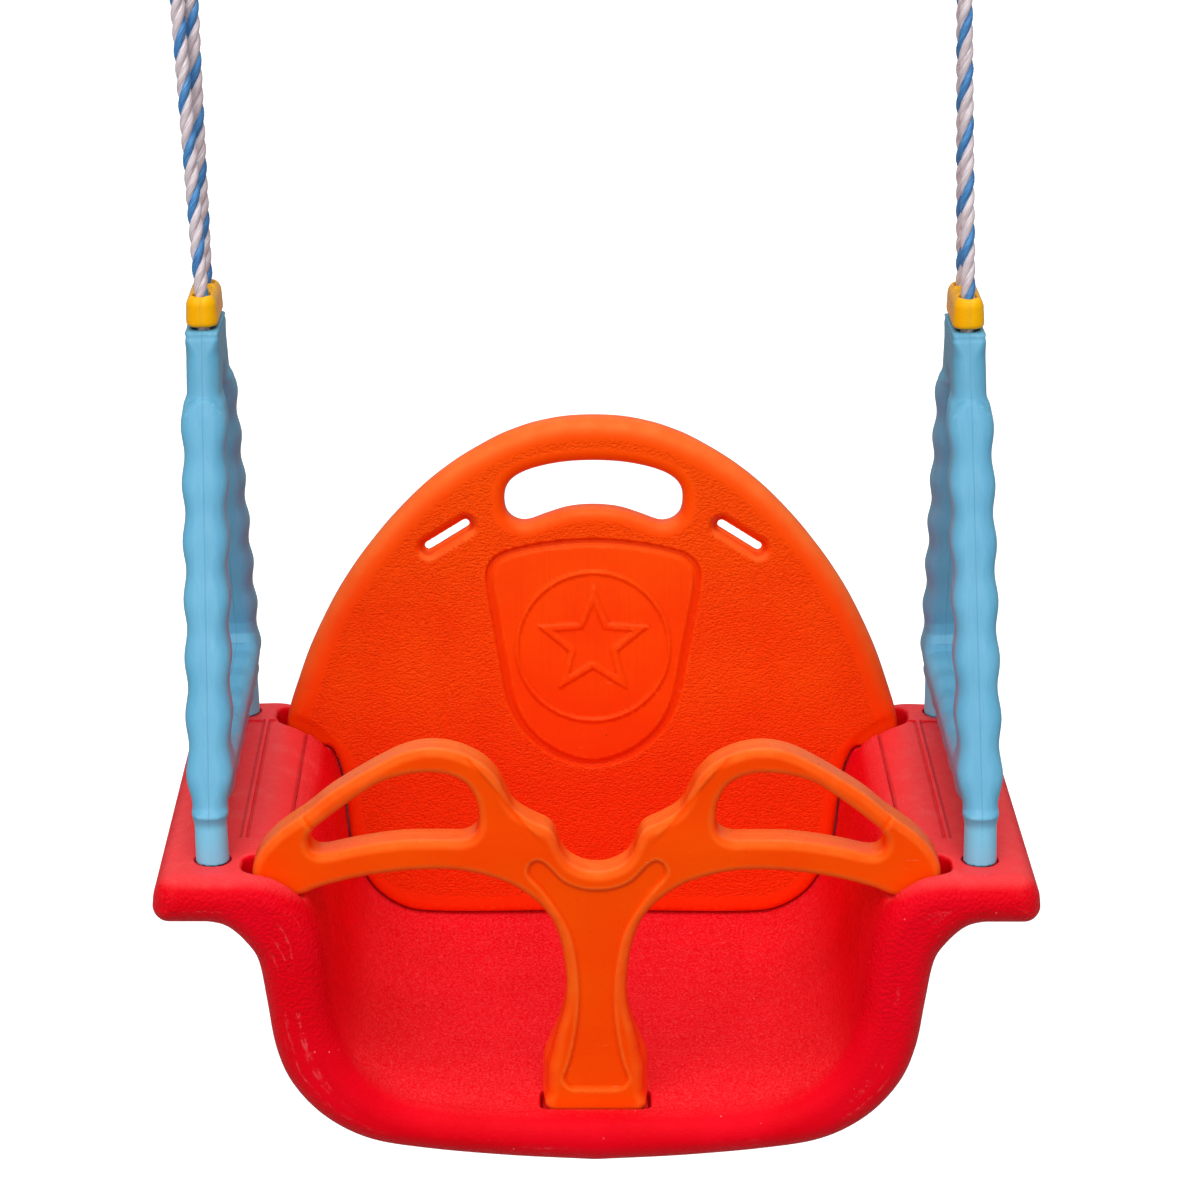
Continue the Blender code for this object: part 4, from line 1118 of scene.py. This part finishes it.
SEAT_F = build_seat(MAT_SEAT)
build_back(MAT_BACK, SEAT_F)
build_guard(MAT_GUARD)
FO, FH = frame_loops()
BORE = np.array([(HOLE_Y, FRAME_TOP + 0.012)] + rope_in_frame(1)[1:] + [(FRAME_FOOT, -0.012)])
PLANES = (outline([FO], 0.0005), outline([FH], 0.0005),
          Plane((-0.01, -0.02), (0.14, 0.285), 0.0006, lambda U, V: polygon_distance([BORE], U, V, False)))
for side in ("left", "right"):
    build_frame(side, MAT_FRAME, PLANES)
    build_guide(side, MAT_GUIDE)
    build_rope(side, MAT_ROPE)

# ------------------------------------------------------------ stage
FLOOR_Z = -1.15


def floor_material():
    s = Shade("studio_floor")
    P = s.node("ShaderNodeTexCoord").outputs["Object"]
    base = s.mix(s.span(s.noise(P, 1.3, 3, 0.5), 0.3, 0.7), (0.93, 0.93, 0.93, 1), (0.95, 0.95, 0.95, 1))
    s.bsdf.inputs["Emission Color"].default_value = (1, 1, 1, 1)
    s.bsdf.inputs["Emission Strength"].default_value = 0.36
    return s.finish(base, s.span(s.noise(P, 9, 2), 0.3, 0.7, 0.7, 0.8), s.bump(s.noise(P, 40, 2), 0.0005, 0.2), 0.2)


me = bpy.data.meshes.new("studio_floor")
R = 14.0
me.from_pydata([(-R, -R, FLOOR_Z), (R, -R, FLOOR_Z), (R, R, FLOOR_Z), (-R, R, FLOOR_Z)], [], [(0, 1, 2, 3)])
me.materials.append(floor_material())
floor = bpy.data.objects.new("studio_floor", me)
bpy.context.scene.collection.objects.link(floor)


def area_light(name, loc, target, size, power, colour=(1, 1, 1), size_y=None):
    L = bpy.data.lights.new(name, "AREA")
    L.shape = "RECTANGLE"
    L.size, L.size_y = size, size_y or size
    L.energy = power
    L.color = colour
    o = bpy.data.objects.new(name, L)
    o.location = loc
    o.rotation_euler = (Vector(target) - Vector(loc)).to_track_quat("-Z", "Y").to_euler()
    bpy.context.scene.collection.objects.link(o)
    return o


def sun_light(name, azimuth, elevation, strength, spread):
    """azimuth 0 shines from the camera's side, positive from picture right."""
    a, e = math.radians(azimuth), math.radians(elevation)
    L = bpy.data.lights.new(name, "SUN")
    L.energy, L.angle = strength, math.radians(spread)
    o = bpy.data.objects.new(name, L)
    o.rotation_euler = Vector((-math.sin(a) * math.cos(e), math.cos(a) * math.cos(e), -math.sin(e))).to_track_quat("-Z", "Y").to_euler()
    bpy.context.scene.collection.objects.link(o)
    return o


area_light("key", (-1.4, -1.9, 1.3), (0, 0, -0.40), 0.9, 8)
sun_light("overhead", 3, 67, 1.15, 36)
sun_light("front_high", -3, 38, 0.68, 36)
sun_light("front_low", -3, 10, 0.45, 44)
sun_light("front_left", -45, 40, 0.24, 40)
sun_light("behind", 180, 62, 0.55, 44)
# the floor only closes the picture: what it throws back would grey the undersides
floor.visible_diffuse = floor.visible_glossy = False
world = bpy.data.worlds.new("studio")
world.use_nodes = True
bg = world.node_tree.nodes.get("Background") or world.node_tree.nodes.new("ShaderNodeBackground")
bg.inputs[0].default_value = (1.0, 1.0, 1.0, 1.0)
bg.inputs[1].default_value = 0.32
bpy.context.scene.world = world
bpy.context.scene.view_settings.view_transform = "Standard"
bpy.context.scene.view_settings.look = "None"

# ------------------------------------------------------------ camera
cam = bpy.data.cameras.new("camera")
cam.lens, cam.sensor_width = 113.7, 36.0
cam.clip_start, cam.clip_end = 0.05, 60.0
camera = bpy.data.objects.new("camera", cam)
camera.location = (-0.0257, -1.9576, FZ + 0.7828)
camera.rotation_euler = (Matrix.Rotation(-math.radians(0.82), 3, "Z") @ Matrix.Rotation(math.radians(71), 3, "X")
                         @ Matrix.Rotation(math.radians(0.36), 3, "Z")).to_euler()
bpy.context.scene.collection.objects.link(camera)
bpy.context.scene.camera = camera
